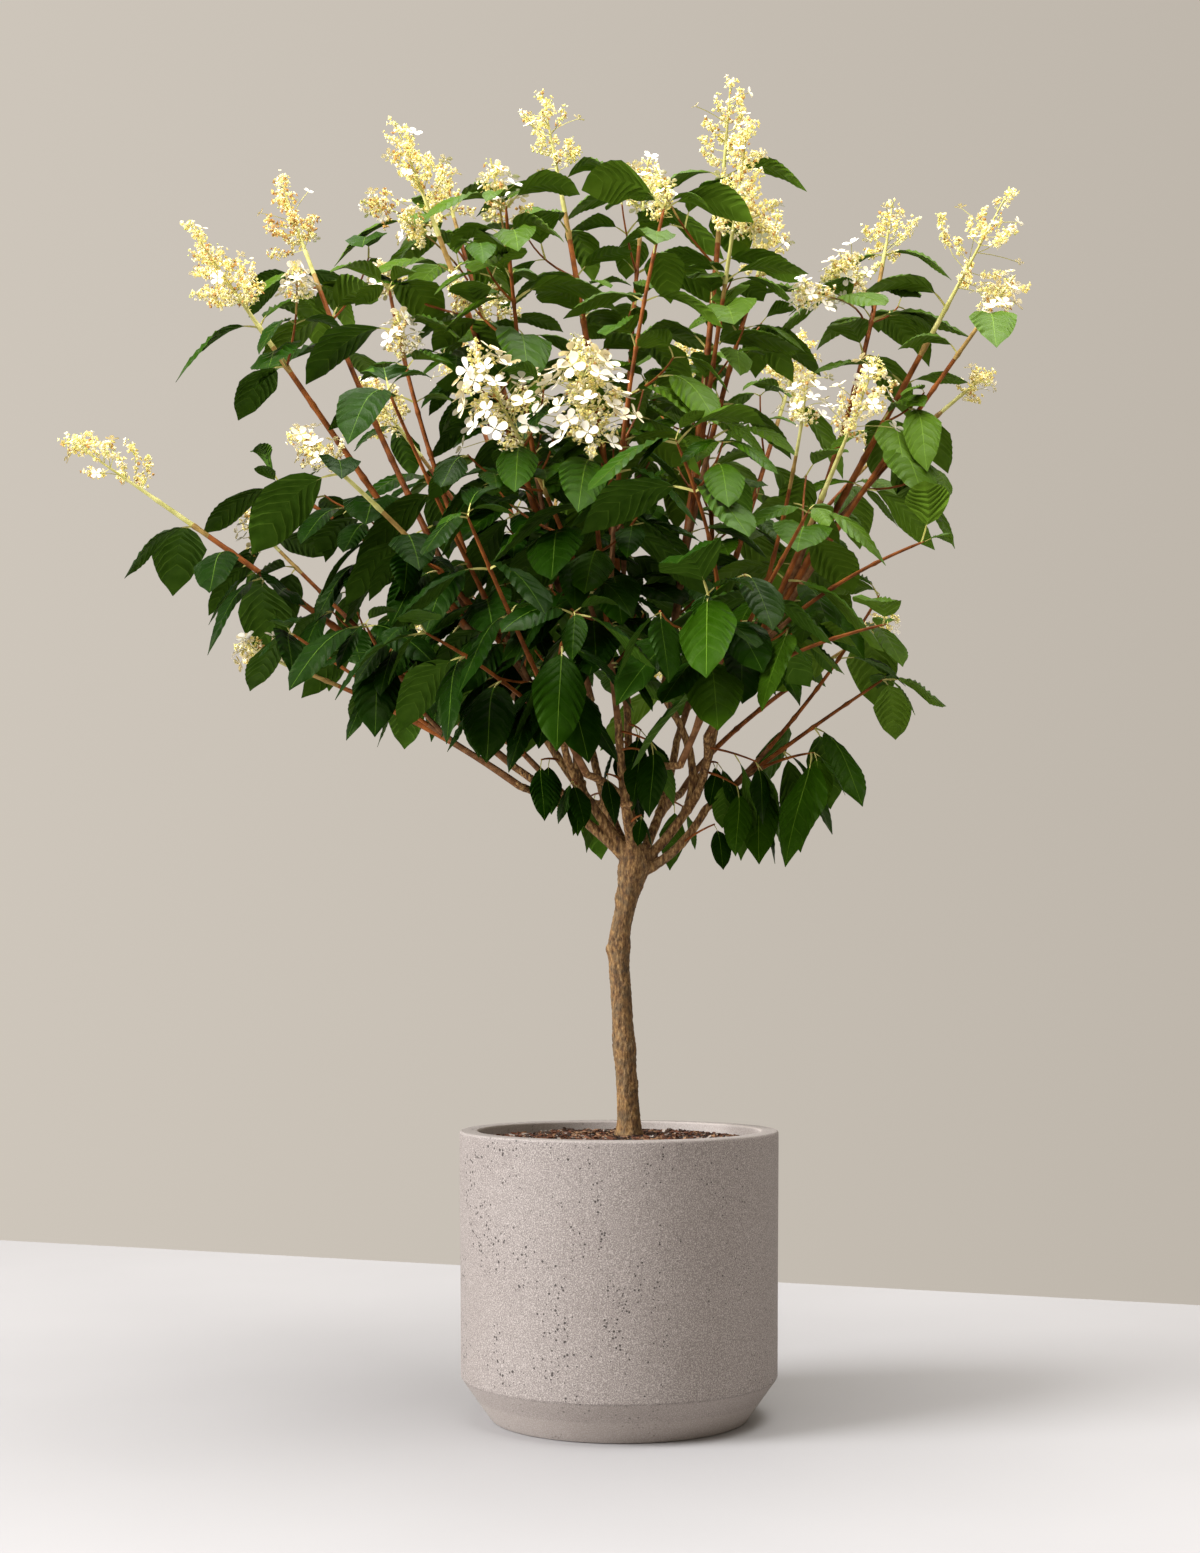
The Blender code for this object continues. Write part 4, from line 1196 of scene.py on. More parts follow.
# A panicle's whorls of branchlets. Its foot below its tip, the height up to which its whorls are full
# and that of its last one are shares of its length.
PANICLE_FOOT = 0.93
WHORL_SPACING = 0.0125
FEWEST_WHORLS = 5
FULL_WHORLS = 0.55
LAST_WHORL = 0.97
WHORL_TURN = 0.9
TURN_SPREAD = (-0.4, 0.4)
# How far it reaches out at its foot, where that comes to nothing, and how it curves in between
BRANCHLET_CONE = (0.36, 1.04, 0.8)
WIDE_CONE = (0.40, 1.05, 0.7)
BRANCHLET_REACH = (0.5, 1.1)
STRAY_REACH = 1.3
STRAY_CHANCE = 0.14
BRANCHLET_RISE = (0.30, 0.80)
HIGHER_RISE = 0.5
BRANCHLET_BEND = (0.3, 0.5)
BRANCHLET_RADII = (0.0007, 0.0004)
ROD_STEPS = 3
ROD_SIDES = 3
# Missing branchlets lie together: how fast that changes round a panicle and up it, and by how much
GAP_FIELD = 40
GAP_RATES = (0.9, 0.35)
GAP_MIDDLE = 0.5
GAP_SWING = 0.9
# Small florets: crowded at a branchlet's tip, a little away from it, and facing outwards
FEWEST_FLORETS = 3
FLORET_STRETCH = 0.95
FLORET_CROWDING = 1.4
FLORET_OFFSET = (0.002, 0.0080)
FLORET_FACING = (0.5, 0.4)
FLORET_SPREAD = (0.7, 1.2)
BUD_CHANCE = 0.30
BUD_SIZE = 0.6
FLORET_TURN = 2.399
# Wide florets: how high they begin and end, how they stand on their stalks, and how they face
WIDE_TOP = 0.85
WIDE_STRETCH = 0.9
WIDE_TURN = 2.4
WIDE_REACH = (0.85, 1.15)
WIDE_RISE = 0.35
WIDE_BEND = 0.004
WIDE_RADII = (0.0006, 0.0005)
WIDE_SPREAD = (0.8, 1.15)
WIDE_OUTWARD = 0.7
WIDE_ONWARD = (0.1, 0.8)
WIDE_UPWARD = 0.5
WIDE_STRAY = 0.35
IVORY_SHARE = 0.35

# The florets' shapes, for a floret 1 across. A star's petal tips and notches: how far out, how high.
STAR_CORNERS = ((0.5, 0.10), (0.24, -0.04))
STAR_ENDS = (0.12, -0.28)
BEAD_RADIUS = 0.36
BEAD_ENDS = (0.42, -0.34)
# A wide floret's petals: how far out and how broad, how they are lifted, and the bead in the middle
PETALS = 4
PETAL_ROWS = ((0.06, 0.10), (0.20, 0.34), (0.36, 0.46), (0.47, 0.36), (0.52, 0.14))
PETAL_COLUMNS = (-1.0, 0.0, 1.0)
PETAL_BREADTH = 0.40
PETAL_THICKNESS = 0.012
PETAL_LIFT = 0.05
PETAL_LEVEL = 0.1
PETAL_CURVE = 0.5
PETAL_CUP = 0.88
PETAL_OVERLAP = 0.015
MIDDLE_RADIUS = 0.05
MIDDLE_HEIGHT = 0.07
MIDDLE_ENDS = (0.13, 0.01)


def bloom_cone(path, bloom):
    """The space of a panicle at a path's tip, as a plain cone."""
    tip, heading = along(path, 1.0)
    below, radii = zip(*BLOOM_CONE)
    line = [tip - heading * bloom * share for share in below]
    return tube(line, [bloom * radius for radius in radii], CONE_SIDES)


def cone_reach(cone, length, style, height):
    """How far a panicle reaches out at a height, from 0 at its foot to 1 at its tip."""
    widest, top, taper = cone
    return length * widest * style.fullness * (top - height) ** taper


def grow_panicle(tip, heading, length, style, seed):
    """A cone of blossom on the last stretch of a shoot: whorls of branchlets, each with its spray of
    small florets, and wide florets on longer stalks. Gives rods, small florets and wide florets."""
    chance = random.Random(seed)
    rods, small, wide = [], [], []
    foot = tip - heading * length * PANICLE_FOOT
    place_of_seed = any_way(chance) * GAP_FIELD
    whorls = max(FEWEST_WHORLS, round(length / WHORL_SPACING))
    around, upward = GAP_RATES
    for whorl in range(whorls):
        height = whorl / whorls
        branches = 4 if height < FULL_WHORLS else 3
        for branch in range(branches):
            turn = whorl * WHORL_TURN + branch * math.tau / branches + chance.uniform(*TURN_SPREAD)
            out = square_to(heading, turn)
            rise = chance.uniform(*BRANCHLET_RISE) + height * HIGHER_RISE
            stray = STRAY_REACH if chance.random() < STRAY_CHANCE else 1.0
            reach = cone_reach(BRANCHLET_CONE, length, style, height)
            reach *= chance.uniform(*BRANCHLET_REACH) * stray
            clump = noise.noise(out * around + heading * whorl * upward + place_of_seed)
            if GAP_MIDDLE + clump * GAP_SWING < style.gaps:
                continue
            start = foot + heading * length * LAST_WHORL * height
            end = start + (out + heading * rise).normalized() * reach
            lower, middle = BRANCHLET_BEND
            bend = start + (out + heading * rise * lower).normalized() * reach * middle
            rod = step_points(start, bend, end, ROD_STEPS)
            rods.append((rod, BRANCHLET_RADII))
            for _ in range(max(FEWEST_FLORETS, round(style.density * reach))):
                share = 1 - (FLORET_STRETCH - style.gaps) * chance.random() ** FLORET_CROWDING
                spray = any_way(chance)
                place = along(rod, share)[0] + spray * chance.uniform(*FLORET_OFFSET)
                outward, onward = FLORET_FACING
                facing = (spray + out * outward + heading * onward).normalized()
                kind = chance.choices(range(len(style.mixture)), style.mixture)[0]
                kind = BUD if chance.random() < BUD_CHANCE * height**2 else kind
                size = FLORET_BREADTH * chance.uniform(*FLORET_SPREAD) * (BUD_SIZE if kind == BUD else 1.0)
                small.append((place, facing, size, kind))
    for number in range(style.wide):
        height = (number + chance.random()) / style.wide * WIDE_TOP
        out = square_to(heading, number * WIDE_TURN + chance.uniform(*TURN_SPREAD))
        reach = cone_reach(WIDE_CONE, length, style, height) * chance.uniform(*WIDE_REACH)
        start = foot + heading * length * WIDE_STRETCH * height
        facing = out * WIDE_OUTWARD + heading * chance.uniform(*WIDE_ONWARD) + UP * WIDE_UPWARD
        facing = (facing + any_way(chance) * WIDE_STRAY).normalized()
        end = start + (out + heading * WIDE_RISE).normalized() * reach
        bend = start.lerp(end, 0.5) + heading * WIDE_BEND
        rods.append((step_points(start, bend, end, ROD_STEPS), WIDE_RADII))
        size = style.breadth * chance.uniform(*WIDE_SPREAD)
        wide.append((end, facing, size, WHITE + int(chance.random() < IVORY_SHARE)))
    return rods, small, wide


def on_circle(turn, radius, height):
    """A point on a circle round Z: its turn from +X, its distance out and its height."""
    return math.cos(turn) * radius, math.sin(turn) * radius, height


def spindle(ring, ends):
    """A closed body of two fans: from a ring of corners to a point above it and to one below."""
    count, (top, foot) = len(ring), ends
    faces = [(corner, (corner + 1) % count, count) for corner in range(count)]
    faces += [((corner + 1) % count, corner, count + 1) for corner in range(count)]
    return np.array([*ring, (0, 0, top), (0, 0, foot)]), faces


def star():
    """A small floret: four pointed petals round a raised middle, closed below by a short cup."""
    corners = 2 * PETALS
    ring = [on_circle(math.tau * corner / corners, *STAR_CORNERS[corner % 2]) for corner in range(corners)]
    return spindle(ring, STAR_ENDS)


def bead():
    """A floret in bud: a bead a little longer than it is wide."""
    ring = [on_circle(math.tau * corner / 4, BEAD_RADIUS, 0) for corner in range(4)]
    return spindle(ring, BEAD_ENDS)


def sterile_floret():
    """A wide floret: four broad cupped petals in two pairs, and a bead in the middle."""
    heap = Heap()
    petal_faces = sheet_faces(len(PETAL_ROWS), len(PETAL_COLUMNS))
    for petal in range(PETALS):
        turn = math.tau * petal / PETALS
        points = []
        for sunk, columns in ((0.0, PETAL_COLUMNS), (PETAL_THICKNESS, PETAL_COLUMNS[1:-1])):
            for (out, width), column in product(PETAL_ROWS, columns):
                across = column * width * PETAL_BREADTH
                lift = PETAL_LIFT + PETAL_CURVE * (out - PETAL_LEVEL) ** 2 + PETAL_CUP * across**2
                lift += PETAL_OVERLAP * (petal % 2) - sunk
                points.append((
                    math.cos(turn) * out - math.sin(turn) * across,
                    math.sin(turn) * out + math.cos(turn) * across,
                    lift,
                ))
        heap.add(points, petal_faces, 0)
    ring = [on_circle(math.tau * corner / 4, MIDDLE_RADIUS, MIDDLE_HEIGHT) for corner in range(4)]
    heap.add(*spindle(ring, MIDDLE_ENDS), 0)
    return np.concatenate(heap.points), heap.faces


def draw_florets(heap, florets, shape):
    """Adds a copy of the shape for each floret, turned to its facing and as wide as it says."""
    points, faces = shape
    for number, (place, facing, size, kind) in enumerate(florets):
        across = square_to(facing, number * FLORET_TURN)
        basis = np.array([across, facing.cross(across), facing])
        heap.add(np.array(place) + points @ basis * size, faces, kind)


def draw_panicle(rod_heap, heap, path, bloom, style, seed):
    """Adds the panicle at a path's tip: its branchlets to the first heap, its florets to the second."""
    tip, heading = along(path, 1.0)
    rods, small, wide = grow_panicle(tip, heading, bloom, style, seed)
    for rod, radii in rods:
        taper = [between(radii, step / ROD_STEPS) for step in range(ROD_STEPS + 1)]
        rod_heap.add(*tube(rod, taper, ROD_SIDES), PALE_GREEN)
    chance = random.Random(seed)
    closed = [floret[3] == BUD or chance.random() < BEAD_SHARE for floret in small]
    draw_florets(heap, [floret for floret, shut in zip(small, closed) if not shut], star())
    draw_florets(heap, [floret for floret, shut in zip(small, closed) if shut], bead())
    draw_florets(heap, wide, sterile_floret())


# Trunk and boughs

LIMB_VOXEL = 0.0016
LIMB_SIDES = 14
EASE_FACTOR = 0.5
EASE_ROUNDS = 6
# A bough's collar at its foot and the rings along it: how proud, how long and how far apart
COLLAR = 0.0020
COLLAR_LENGTH = 0.016
RING = 0.0006
RING_HALF = 0.0035
RING_SPACING = 0.046
# Bark: how finely its plates, flakes and crumbs repeat, and how far each moves the skin
BARK_RELIEF = 0.00085
BARK_RADIUS = 0.012
ROUGHEST = 1.15
PLATES_ROUND = 2.6
TRUNK_PLATES = 42
BOUGH_PLATES = 60
FLAKES = 260
CRUMBS = 700
FURROW_WIDTH = 0.16
FURROW_SHARE = 0.9
PLATE_SHARE = 0.75
FLAKE_SHARE = 0.7
CRUMB_SHARE = 0.35
# Knots: how high, their bearing, how proud and half as wide as they are, and the hollow in each
KNOTS = (
    (0.285, 170, 0.0042, 0.007), (0.222, 195, 0.0034, 0.006), (0.120, 150, 0.0026, 0.006),
    (0.060, 20, 0.0024, 0.006), (0.180, 300, 0.0022, 0.005),
)
KNOT_SPREAD = 2.5
KNOT_HOLLOW = 0.5
KNOT_HOLLOW_HALF = 0.35
# Stubs: the bough, where along it, their turn about it, their lean, and their radii from foot to tip
STUBS = (
    ("front_high", 0.42, 2.4), ("right_top", 0.62, 0.8), ("left_top", 0.55, 4.0), ("back_left", 0.5, 1.0),
)
STUB_LEAN = 0.7
STUB_RADII = ((0.0, 0.0042), (0.008, 0.0038), (0.017, 0.0036))


def limb_lines():
    """Every limb as a centreline with a radius at each point: the trunk, then the boughs."""
    heights = [TRUNK_HEIGHT * step / TRUNK_STEPS for step in range(TRUNK_STEPS + 1)]
    trunk = [Vector((trunk_lean(height), 0, MIX_TOP + TRUNK_FOOT + height)) for height in heights]
    ends = [min(1, TRUNK_END + (TRUNK_HEIGHT - height) / TRUNK_END_LENGTH) for height in heights]
    radii = [trunk_radius(height) * end for height, end in zip(heights, ends)]
    yield trunk, radii
    for name in CROWN:
        path = bough_path(name)
        pair = BOUGH_RADII if CROWN[name].parent == "trunk" else FORKED_BOUGH_RADII
        length, travelled, thick = path_length(path), 0.0, []
        for index in range(len(path)):
            travelled += (path[index] - path[index - 1]).length if index else 0
            collar = COLLAR * math.exp(-travelled / COLLAR_LENGTH)
            ring = RING * math.exp(-((travelled % RING_SPACING - RING_SPACING / 2) / RING_HALF) ** 2)
            thick.append(between(pair, travelled / length) + collar + ring)
        yield path, thick


def stub_lines():
    """What is left of shoots that were pruned away: short, blunt, on the boughs' lower halves."""
    for name, share, turn in STUBS:
        root, heading = along(bough_path(name), share)
        out = (square_to(heading, turn) + heading * STUB_LEAN).normalized()
        away, radii = zip(*STUB_RADII)
        yield [root + out * reach for reach in away], radii


def make_limbs():
    """The trunk and its boughs as one skin, with collars where they join and the bark's relief."""
    heap, stations = Heap(), []
    for path, radii in [*limb_lines(), *stub_lines()]:
        heap.add(*tube(path, radii, LIMB_SIDES), 0)
        stations += zip(path, radii)
    for number in range(LUMPS):
        turn = math.tau * (number + 0.5) / LUMPS
        outward = Vector((math.cos(turn), math.sin(turn), 0)) * LUMP_OFFSET
        centre = HEAD + outward - UP * LUMP_RADIUS * (number % 2)
        line = [centre + UP * LUMP_RADIUS * lift for lift in LUMP_STATIONS]
        radii = [LUMP_RADIUS * math.sqrt(1 - lift * lift) for lift in LUMP_STATIONS]
        heap.add(*tube(line, radii, LUMP_SIDES), 0)
    rough = heap.piece("limbs_rough", [])
    skin = rough.modifiers.new("skin", "REMESH")
    skin.mode = "VOXEL"
    skin.voxel_size = LIMB_VOXEL
    ease = rough.modifiers.new("ease", "SMOOTH")
    ease.factor = EASE_FACTOR
    ease.iterations = EASE_ROUNDS
    graph = bpy.context.evaluated_depsgraph_get()
    mesh = bpy.data.meshes.new_from_object(rough.evaluated_get(graph))
    bpy.data.objects.remove(rough)
    add_bark(mesh, stations)
    mesh.materials.clear()
    mesh.materials.append(bark())
    mesh.shade_smooth()
    limbs = bpy.data.objects.new("trunk_and_boughs", mesh)
    bpy.context.scene.collection.objects.link(limbs)
    return limbs


def add_bark(mesh, stations):
    """Moves the skin's points out and in: long plates and furrows, knots, and grain on the boughs."""
    tree = KDTree(len(stations))
    for index, (point, _) in enumerate(stations):
        tree.insert(point, index)
    tree.balance()
    count = len(mesh.vertices)
    places, normals = np.empty(count * 3), np.empty(count * 3)
    mesh.vertices.foreach_get("co", places)
    mesh.vertex_normals.foreach_get("vector", normals)
    places, normals = places.reshape(-1, 3), normals.reshape(-1, 3)
    moves = np.zeros(count)
    for index, place in enumerate(places):
        place = Vector(place)
        _, nearest, _ = tree.find(place)
        centre, radius = stations[nearest]
        on_trunk = nearest <= TRUNK_STEPS
        turn = math.atan2(place.y - centre.y, place.x - centre.x)
        lengthwise = place.z * TRUNK_PLATES if on_trunk else place.length * BOUGH_PLATES
        rough = min(radius / BARK_RADIUS, ROUGHEST)
        plates = noise.noise(Vector(on_circle(turn, PLATES_ROUND, lengthwise)))
        furrow = max(0.0, 1 - abs(plates) / FURROW_WIDTH) * FURROW_SHARE
        flakes = noise.noise(place * FLAKES) * FLAKE_SHARE * rough
        crumbs = noise.noise(place * CRUMBS) * CRUMB_SHARE
        moves[index] = BARK_RELIEF * rough * (PLATE_SHARE * plates - furrow + flakes + crumbs)
        for height, bearing, proud, half in KNOTS if on_trunk else ():
            foot = Vector((trunk_lean(height), 0, MIX_TOP + height))
            away = (place - foot - direction(bearing, 0) * BARK_RADIUS).length / half
            if away < KNOT_SPREAD:
                hollow = KNOT_HOLLOW * math.exp(-(away / KNOT_HOLLOW_HALF) ** 2)
                moves[index] += proud * math.exp(-away * away) * (1 - hollow)
    places += normals * moves[:, None]
    mesh.vertices.foreach_set("co", places.ravel())
    mesh.update()


# Pot and potting mix


def arc(centre, radius, first, last, steps=5):
    """Points on an arc of a profile, from one direction to the other, in degrees."""
    turns = [math.radians(between((first, last), step / steps)) for step in range(steps + 1)]
    return [(centre[0] + radius * math.cos(turn), centre[1] + radius * math.sin(turn)) for turn in turns]


def stretch(first, last, steps):
    """Points along a straight stretch of a profile, without its ends."""
    return [(between((first[0], last[0]), step / steps), between((first[1], last[1]), step / steps))
            for step in range(1, steps)]


def turned(name, profile, segments, finish, relief=None):
    """A body turned about Z from a profile whose ends lie near the axis, where it is closed flat."""
    turns = np.arange(segments) * math.tau / segments
    radius = np.array([point[0] for point in profile])[:, None]
    height = np.array([point[1] for point in profile])[:, None]
    points = np.stack([radius * np.cos(turns), radius * np.sin(turns), height + 0 * turns], axis=2)
    points = points.reshape(-1, 3)
    if relief:
        points = relief(points)
    heap = Heap()
    heap.add(points, [face[::-1] for face in tube_faces(len(profile), segments)], 0)
    return heap.piece(name, [finish], sharp=math.radians(40))


def make_pot():
    """The pot: a straight drum, a bevelled foot, a rubbed round lip and a plain inside."""
    inside, top = POT_RIM_RADIUS - POT_WALL, POT_HEIGHT - POT_LIP
    shoulder, height, ease = POT_SHOULDER_RADIUS, POT_SHOULDER_HEIGHT, SHOULDER_EASE
    bevel = math.degrees(math.atan2(height, shoulder - POT_FOOT_RADIUS))
    profile = [(AXIS_RADIUS, POT_FLOOR), (POT_FOOT_RADIUS - POT_WALL, POT_FLOOR)]
    profile += [(inside, height + POT_WALL / 2)]
    profile += stretch(profile[-1], (inside, top), 4)
    profile += arc((inside + POT_LIP, top), POT_LIP, 180, 90)
    profile += arc((POT_RIM_RADIUS - POT_LIP, top), POT_LIP, 90, 0)
    profile += stretch(profile[-1], (shoulder, height + ease), 28)
    profile += arc((shoulder - ease, height + ease * SHOULDER_SHARE), ease, 0, bevel - 90, 6)
    profile += stretch(profile[-1], (POT_FOOT_RADIUS + BEVEL_END[0], BEVEL_END[1]), 7)
    profile += arc((POT_FOOT_RADIUS - FOOT_INSET, FOOT_ROUND), FOOT_ROUND, bevel - 90, -90, 4)
    profile += [(AXIS_RADIUS, 0.0)]

    def relief(points):
        """The slight waves that the mould and the rubbing leave on the outside."""
        for index, point in enumerate(points):
            radius = math.hypot(point[0], point[1])
            between_edges = WAVE_EDGE_GAP < point[2] < POT_HEIGHT - WAVE_EDGE_GAP
            if between_edges and radius > POT_FOOT_RADIUS + WAVE_FOOT_GAP:
                points[index, :2] *= 1 + ripples(Vector(point), POT_WAVES) / radius
        return points

    return turned("planter", profile, POT_SEGMENTS, cement(), relief)


def mix_height(x, y):
    """The top of the potting mix: a low dome with lumps and hollows."""
    away = math.hypot(x, y)
    slope = min(max((away - MIX_CROWN_RADIUS) / (MIX_RADIUS - MIX_CROWN_RADIUS), 0), 1)
    crown = MIX_TOP - (MIX_EDGE_DROP - (POT_HEIGHT - MIX_TOP)) * slope
    return crown + ripples(Vector((x, y, 0)), MIX_LUMPS)


def make_potting_mix():
    """The mix that fills the pot."""
    top = [(MIX_RADIUS * (ring + 0.5) / (MIX_RINGS + 0.5), MIX_TOP) for ring in range(MIX_RINGS + 1)]
    floor = POT_FLOOR + MIX_FLOOR_GAP
    profile = [*top, (MIX_RADIUS, POT_SHOULDER_HEIGHT + POT_WALL / 2)]
    profile += [(POT_FOOT_RADIUS - POT_WALL - MIX_FLOOR_GAP, floor), (AXIS_RADIUS, floor)]

    def relief(points):
        """The dome, its lumps and its hollows."""
        for index, point in enumerate(points):
            if point[2] == MIX_TOP:
                points[index, 2] = mix_height(point[0], point[1])
        return points

    return turned("peat_and_bark", profile, MIX_SEGMENTS, peat(), relief)


def make_chips():
    """Bark chips and crumbs that lie on the mix, most of them flat."""
    chance = random.Random(CHIP_SEED)
    heap = Heap()
    corners = np.array([(x, y, z) for z in (-1, 1) for x, y in BOX_CORNERS], float) / 2
    for _ in range(CHIPS):
        away = (MIX_RADIUS - CHIP_RIM_GAP) * math.sqrt(chance.random())
        turn = chance.uniform(0, math.tau)
        x, y = away * math.cos(turn), away * math.sin(turn)
        if math.hypot(x - TRUNK_LEAN[0][1], y) < CHIP_TRUNK_GAP:
            continue
        length = chance.choice(CHIP_LENGTHS) * chance.uniform(*CHIP_SPREAD)
        size = length * np.array([1, chance.uniform(*CHIP_BREADTH), chance.uniform(*CHIP_THICKNESS)])
        shape = corners * size * np.array([[chance.uniform(*CHIP_CORNERS)] * 3 for _ in corners])
        tilt = (UP + any_way(chance) * chance.uniform(*CHIP_TILT)).normalized()
        across = square_to(tilt, chance.uniform(0, math.tau))
        basis = np.array([across, tilt.cross(across), tilt])
        lift = mix_height(x, y) + size[2] * CHIP_LIFT
        kind = chance.choices(range(len(CHIP_SHARES)), CHIP_SHARES)[0]
        heap.add(shape @ basis + np.array((x, y, lift)), BOX_FACES, kind)
    return heap.piece("bark_chips", [chip_finish(*row) for row in CHIP_FINISHES], sharp=math.radians(30))


# Finishes


def linear(code):
    """A colour code, such as #8090a0, as linear red, green, blue and an alpha of 1."""
    values = [int(code[place:place + 2], 16) / 255 for place in (1, 3, 5)]
    curved = [value / 12.92 if value <= 0.04045 else ((value + 0.055) / 1.055) ** 2.4 for value in values]
    return (*curved, 1.0)


def per_mm(size):
    """The scale of a pattern whose features are this many millimetres wide."""
    return 1 / (size * MM)


def add_node(tree, kind, inputs=None, stops=(), **settings):
    """Adds a node with its own settings, and gives each named input a value or another's output.
    Stops are a run of colours along a factor: for each, a place from 0 to 1 and a colour code."""
    made = tree.nodes.new(kind)
    for name, value in settings.items():
        setattr(made, name, value)
    while stops and len(made.color_ramp.elements) < len(stops):
        made.color_ramp.elements.new(0.5)
    for element, (place, code) in zip(made.color_ramp.elements if stops else (), stops):
        element.position = place
        element.color = linear(code)
    for name, value in (inputs or {}).items():
        if isinstance(value, bpy.types.NodeSocket):
            tree.links.new(value, made.inputs[name])
        else:
            made.inputs[name].default_value = value
    return made


def new_finish(name, roughness, ior=1.5, **sockets):
    """A finish with its shader, still plain: the material, its tree, the shader and the coordinates."""
    made = bpy.data.materials.new(name)
    made.use_nodes = True
    tree = made.node_tree
    surface = tree.nodes["Principled BSDF"]
    surface.inputs["Roughness"].default_value = roughness
    surface.inputs["IOR"].default_value = ior
    for socket, value in sockets.items():
        surface.inputs[socket.replace("_", " ")].default_value = value
    return made, tree, surface, add_node(tree, "ShaderNodeTexCoord").outputs["Object"]


def plain_plant(name, dark, light, mottle, roughness, grain, relief, ior=1.45, **sockets):
    """A plant surface: mottled between two colours, with a fine grain in relief. Sizes are in mm."""
    made, tree, surface, place = new_finish(name, roughness, ior, **sockets)
    cloud = add_node(tree, "ShaderNodeTexNoise", {"Vector": place, "Scale": per_mm(mottle), "Detail": 3.0})
    stops = (0.32, dark), (0.68, light)
    tint = add_node(tree, "ShaderNodeValToRGB", {"Fac": cloud.outputs["Fac"]}, stops).outputs["Color"]
    tree.links.new(tint, surface.inputs["Base Color"])
    fine = add_node(tree, "ShaderNodeTexNoise", {"Vector": place, "Scale": per_mm(grain), "Detail": 2.0})
    bump = add_node(tree, "ShaderNodeBump", {
        "Height": fine.outputs["Fac"], "Strength": 0.6, "Distance": relief * MM})
    tree.links.new(bump.outputs["Normal"], surface.inputs["Normal"])
    return made


def lighter(code, share):
    """A colour code moved this share of the way to the pale green of a vein."""
    parts = [(int(code[place:place + 2], 16), int(VEIN_TINT[place:place + 2], 16)) for place in (1, 3, 5)]
    return "#" + "".join(f"{max(0, round(between(pair, share))):02x}" for pair in parts)


def leaf_finishes():
    """Hydrangea leaves. The top is a leathery blade under a thin wax coat, so it is deep green with a
    broad soft shine. The underside is paler and dull, and the veins and stalks are pale and smooth."""
    wax = {"Specular_IOR_Level": 0.14, "Specular_Tint": linear("#9cc838")}
    # Each part's way to the vein's colour where it is dark and light, its mottle in mm, its roughness,
    # and its grain and relief in mm
    looks = {
        "top": (-0.03, 0.05, 14, 0.40, 3.6, 0.60), "vein": (0.10, 0.16, 9, 0.45, 1.0, 0.05),
        "rib": (0.40, 0.56, 9, 0.45, 1.0, 0.05), "under": (0.26, 0.38, 14, 0.62, 1.2, 0.08),
        "vein_under": (0.42, 0.55, 9, 0.55, 1.0, 0.05),
    }
    made = []
    for part, (dark, light, *grain) in looks.items():
        for number, code in enumerate(LEAF_TINTS[LEAF_PARTS[part] // 2::LEAF_PARTS[part]]):
            clear = between(VEIN_CLEARNESS, number / len(LEAF_TINTS)) if part == "vein" else 1.0
            colours = lighter(code, dark * clear), lighter(code, light * clear)
            made.append(plain_plant(f"leaf_{part}_{number}", *colours, *grain, **wax))
    return made + [plain_plant("leaf_stalk", "#a5a052", "#c6bd78", 12, 0.45, 0.8, 0.05, **wax)]


def shoot_finishes():
    """Hydrangea shoots: bark-brown and dull where they are two years old, smooth red-brown in their
    first year, and pale green and waxy just under the blossom, with a tan stretch between."""
    skin = {"Specular_IOR_Level": 0.1}
    return [
        plain_plant("shoot_old_wood", "#5a3a22", "#8a6240", 9, 0.75, 1.2, 0.35, **skin),
        plain_plant("shoot_red_brown", "#5c3114", "#965626", 16, 0.48, 0.9, 0.12, **skin),
        plain_plant("shoot_pale_green", "#a8a358", "#c6c07c", 14, 0.50, 0.8, 0.08, **skin),
        plain_plant("shoot_ripening", "#7d6232", "#a4854a", 10, 0.50, 0.8, 0.08, **skin),
    ]


def blossom_finishes():
    """Petals are thin and dull with hardly any grain, so they look soft: cream and butter when open,
    green in bud, orange-brown when they fade, and white or ivory on the wide florets."""
    return [
        plain_plant("floret_cream", "#f6e8b6", "#fff6d2", 5, 0.65, 0.8, 0.08),
        plain_plant("floret_butter", "#f1dc78", "#fdf0a2", 5, 0.65, 0.8, 0.08),
        plain_plant("floret_green_bud", "#c8cc68", "#e2e28c", 5, 0.60, 0.8, 0.08),
        plain_plant("floret_faded", "#ab7836", "#d8aa5c", 5, 0.75, 0.8, 0.10),
        plain_plant("petal_white", "#ece3cd", "#f8f2e2", 8, 0.55, 1.1, 0.10),
        plain_plant("petal_ivory", "#e4d6ac", "#f1e5c4", 8, 0.55, 1.1, 0.10),
    ]


CHIP_FINISHES = (
    ("chip_dark", "#21130b", "#402818"),
    ("chip_red", "#4c2a19", "#704228"),
    ("chip_tan", "#6e5038", "#987352"),
    ("chip_grey", "#786e66", "#a0958a"),
)


def chip_finish(name, dark, light):
    """Shredded conifer bark: dry, fibrous and dull."""
    return plain_plant(name, dark, light, 4, 0.92, 1.1, 0.5)


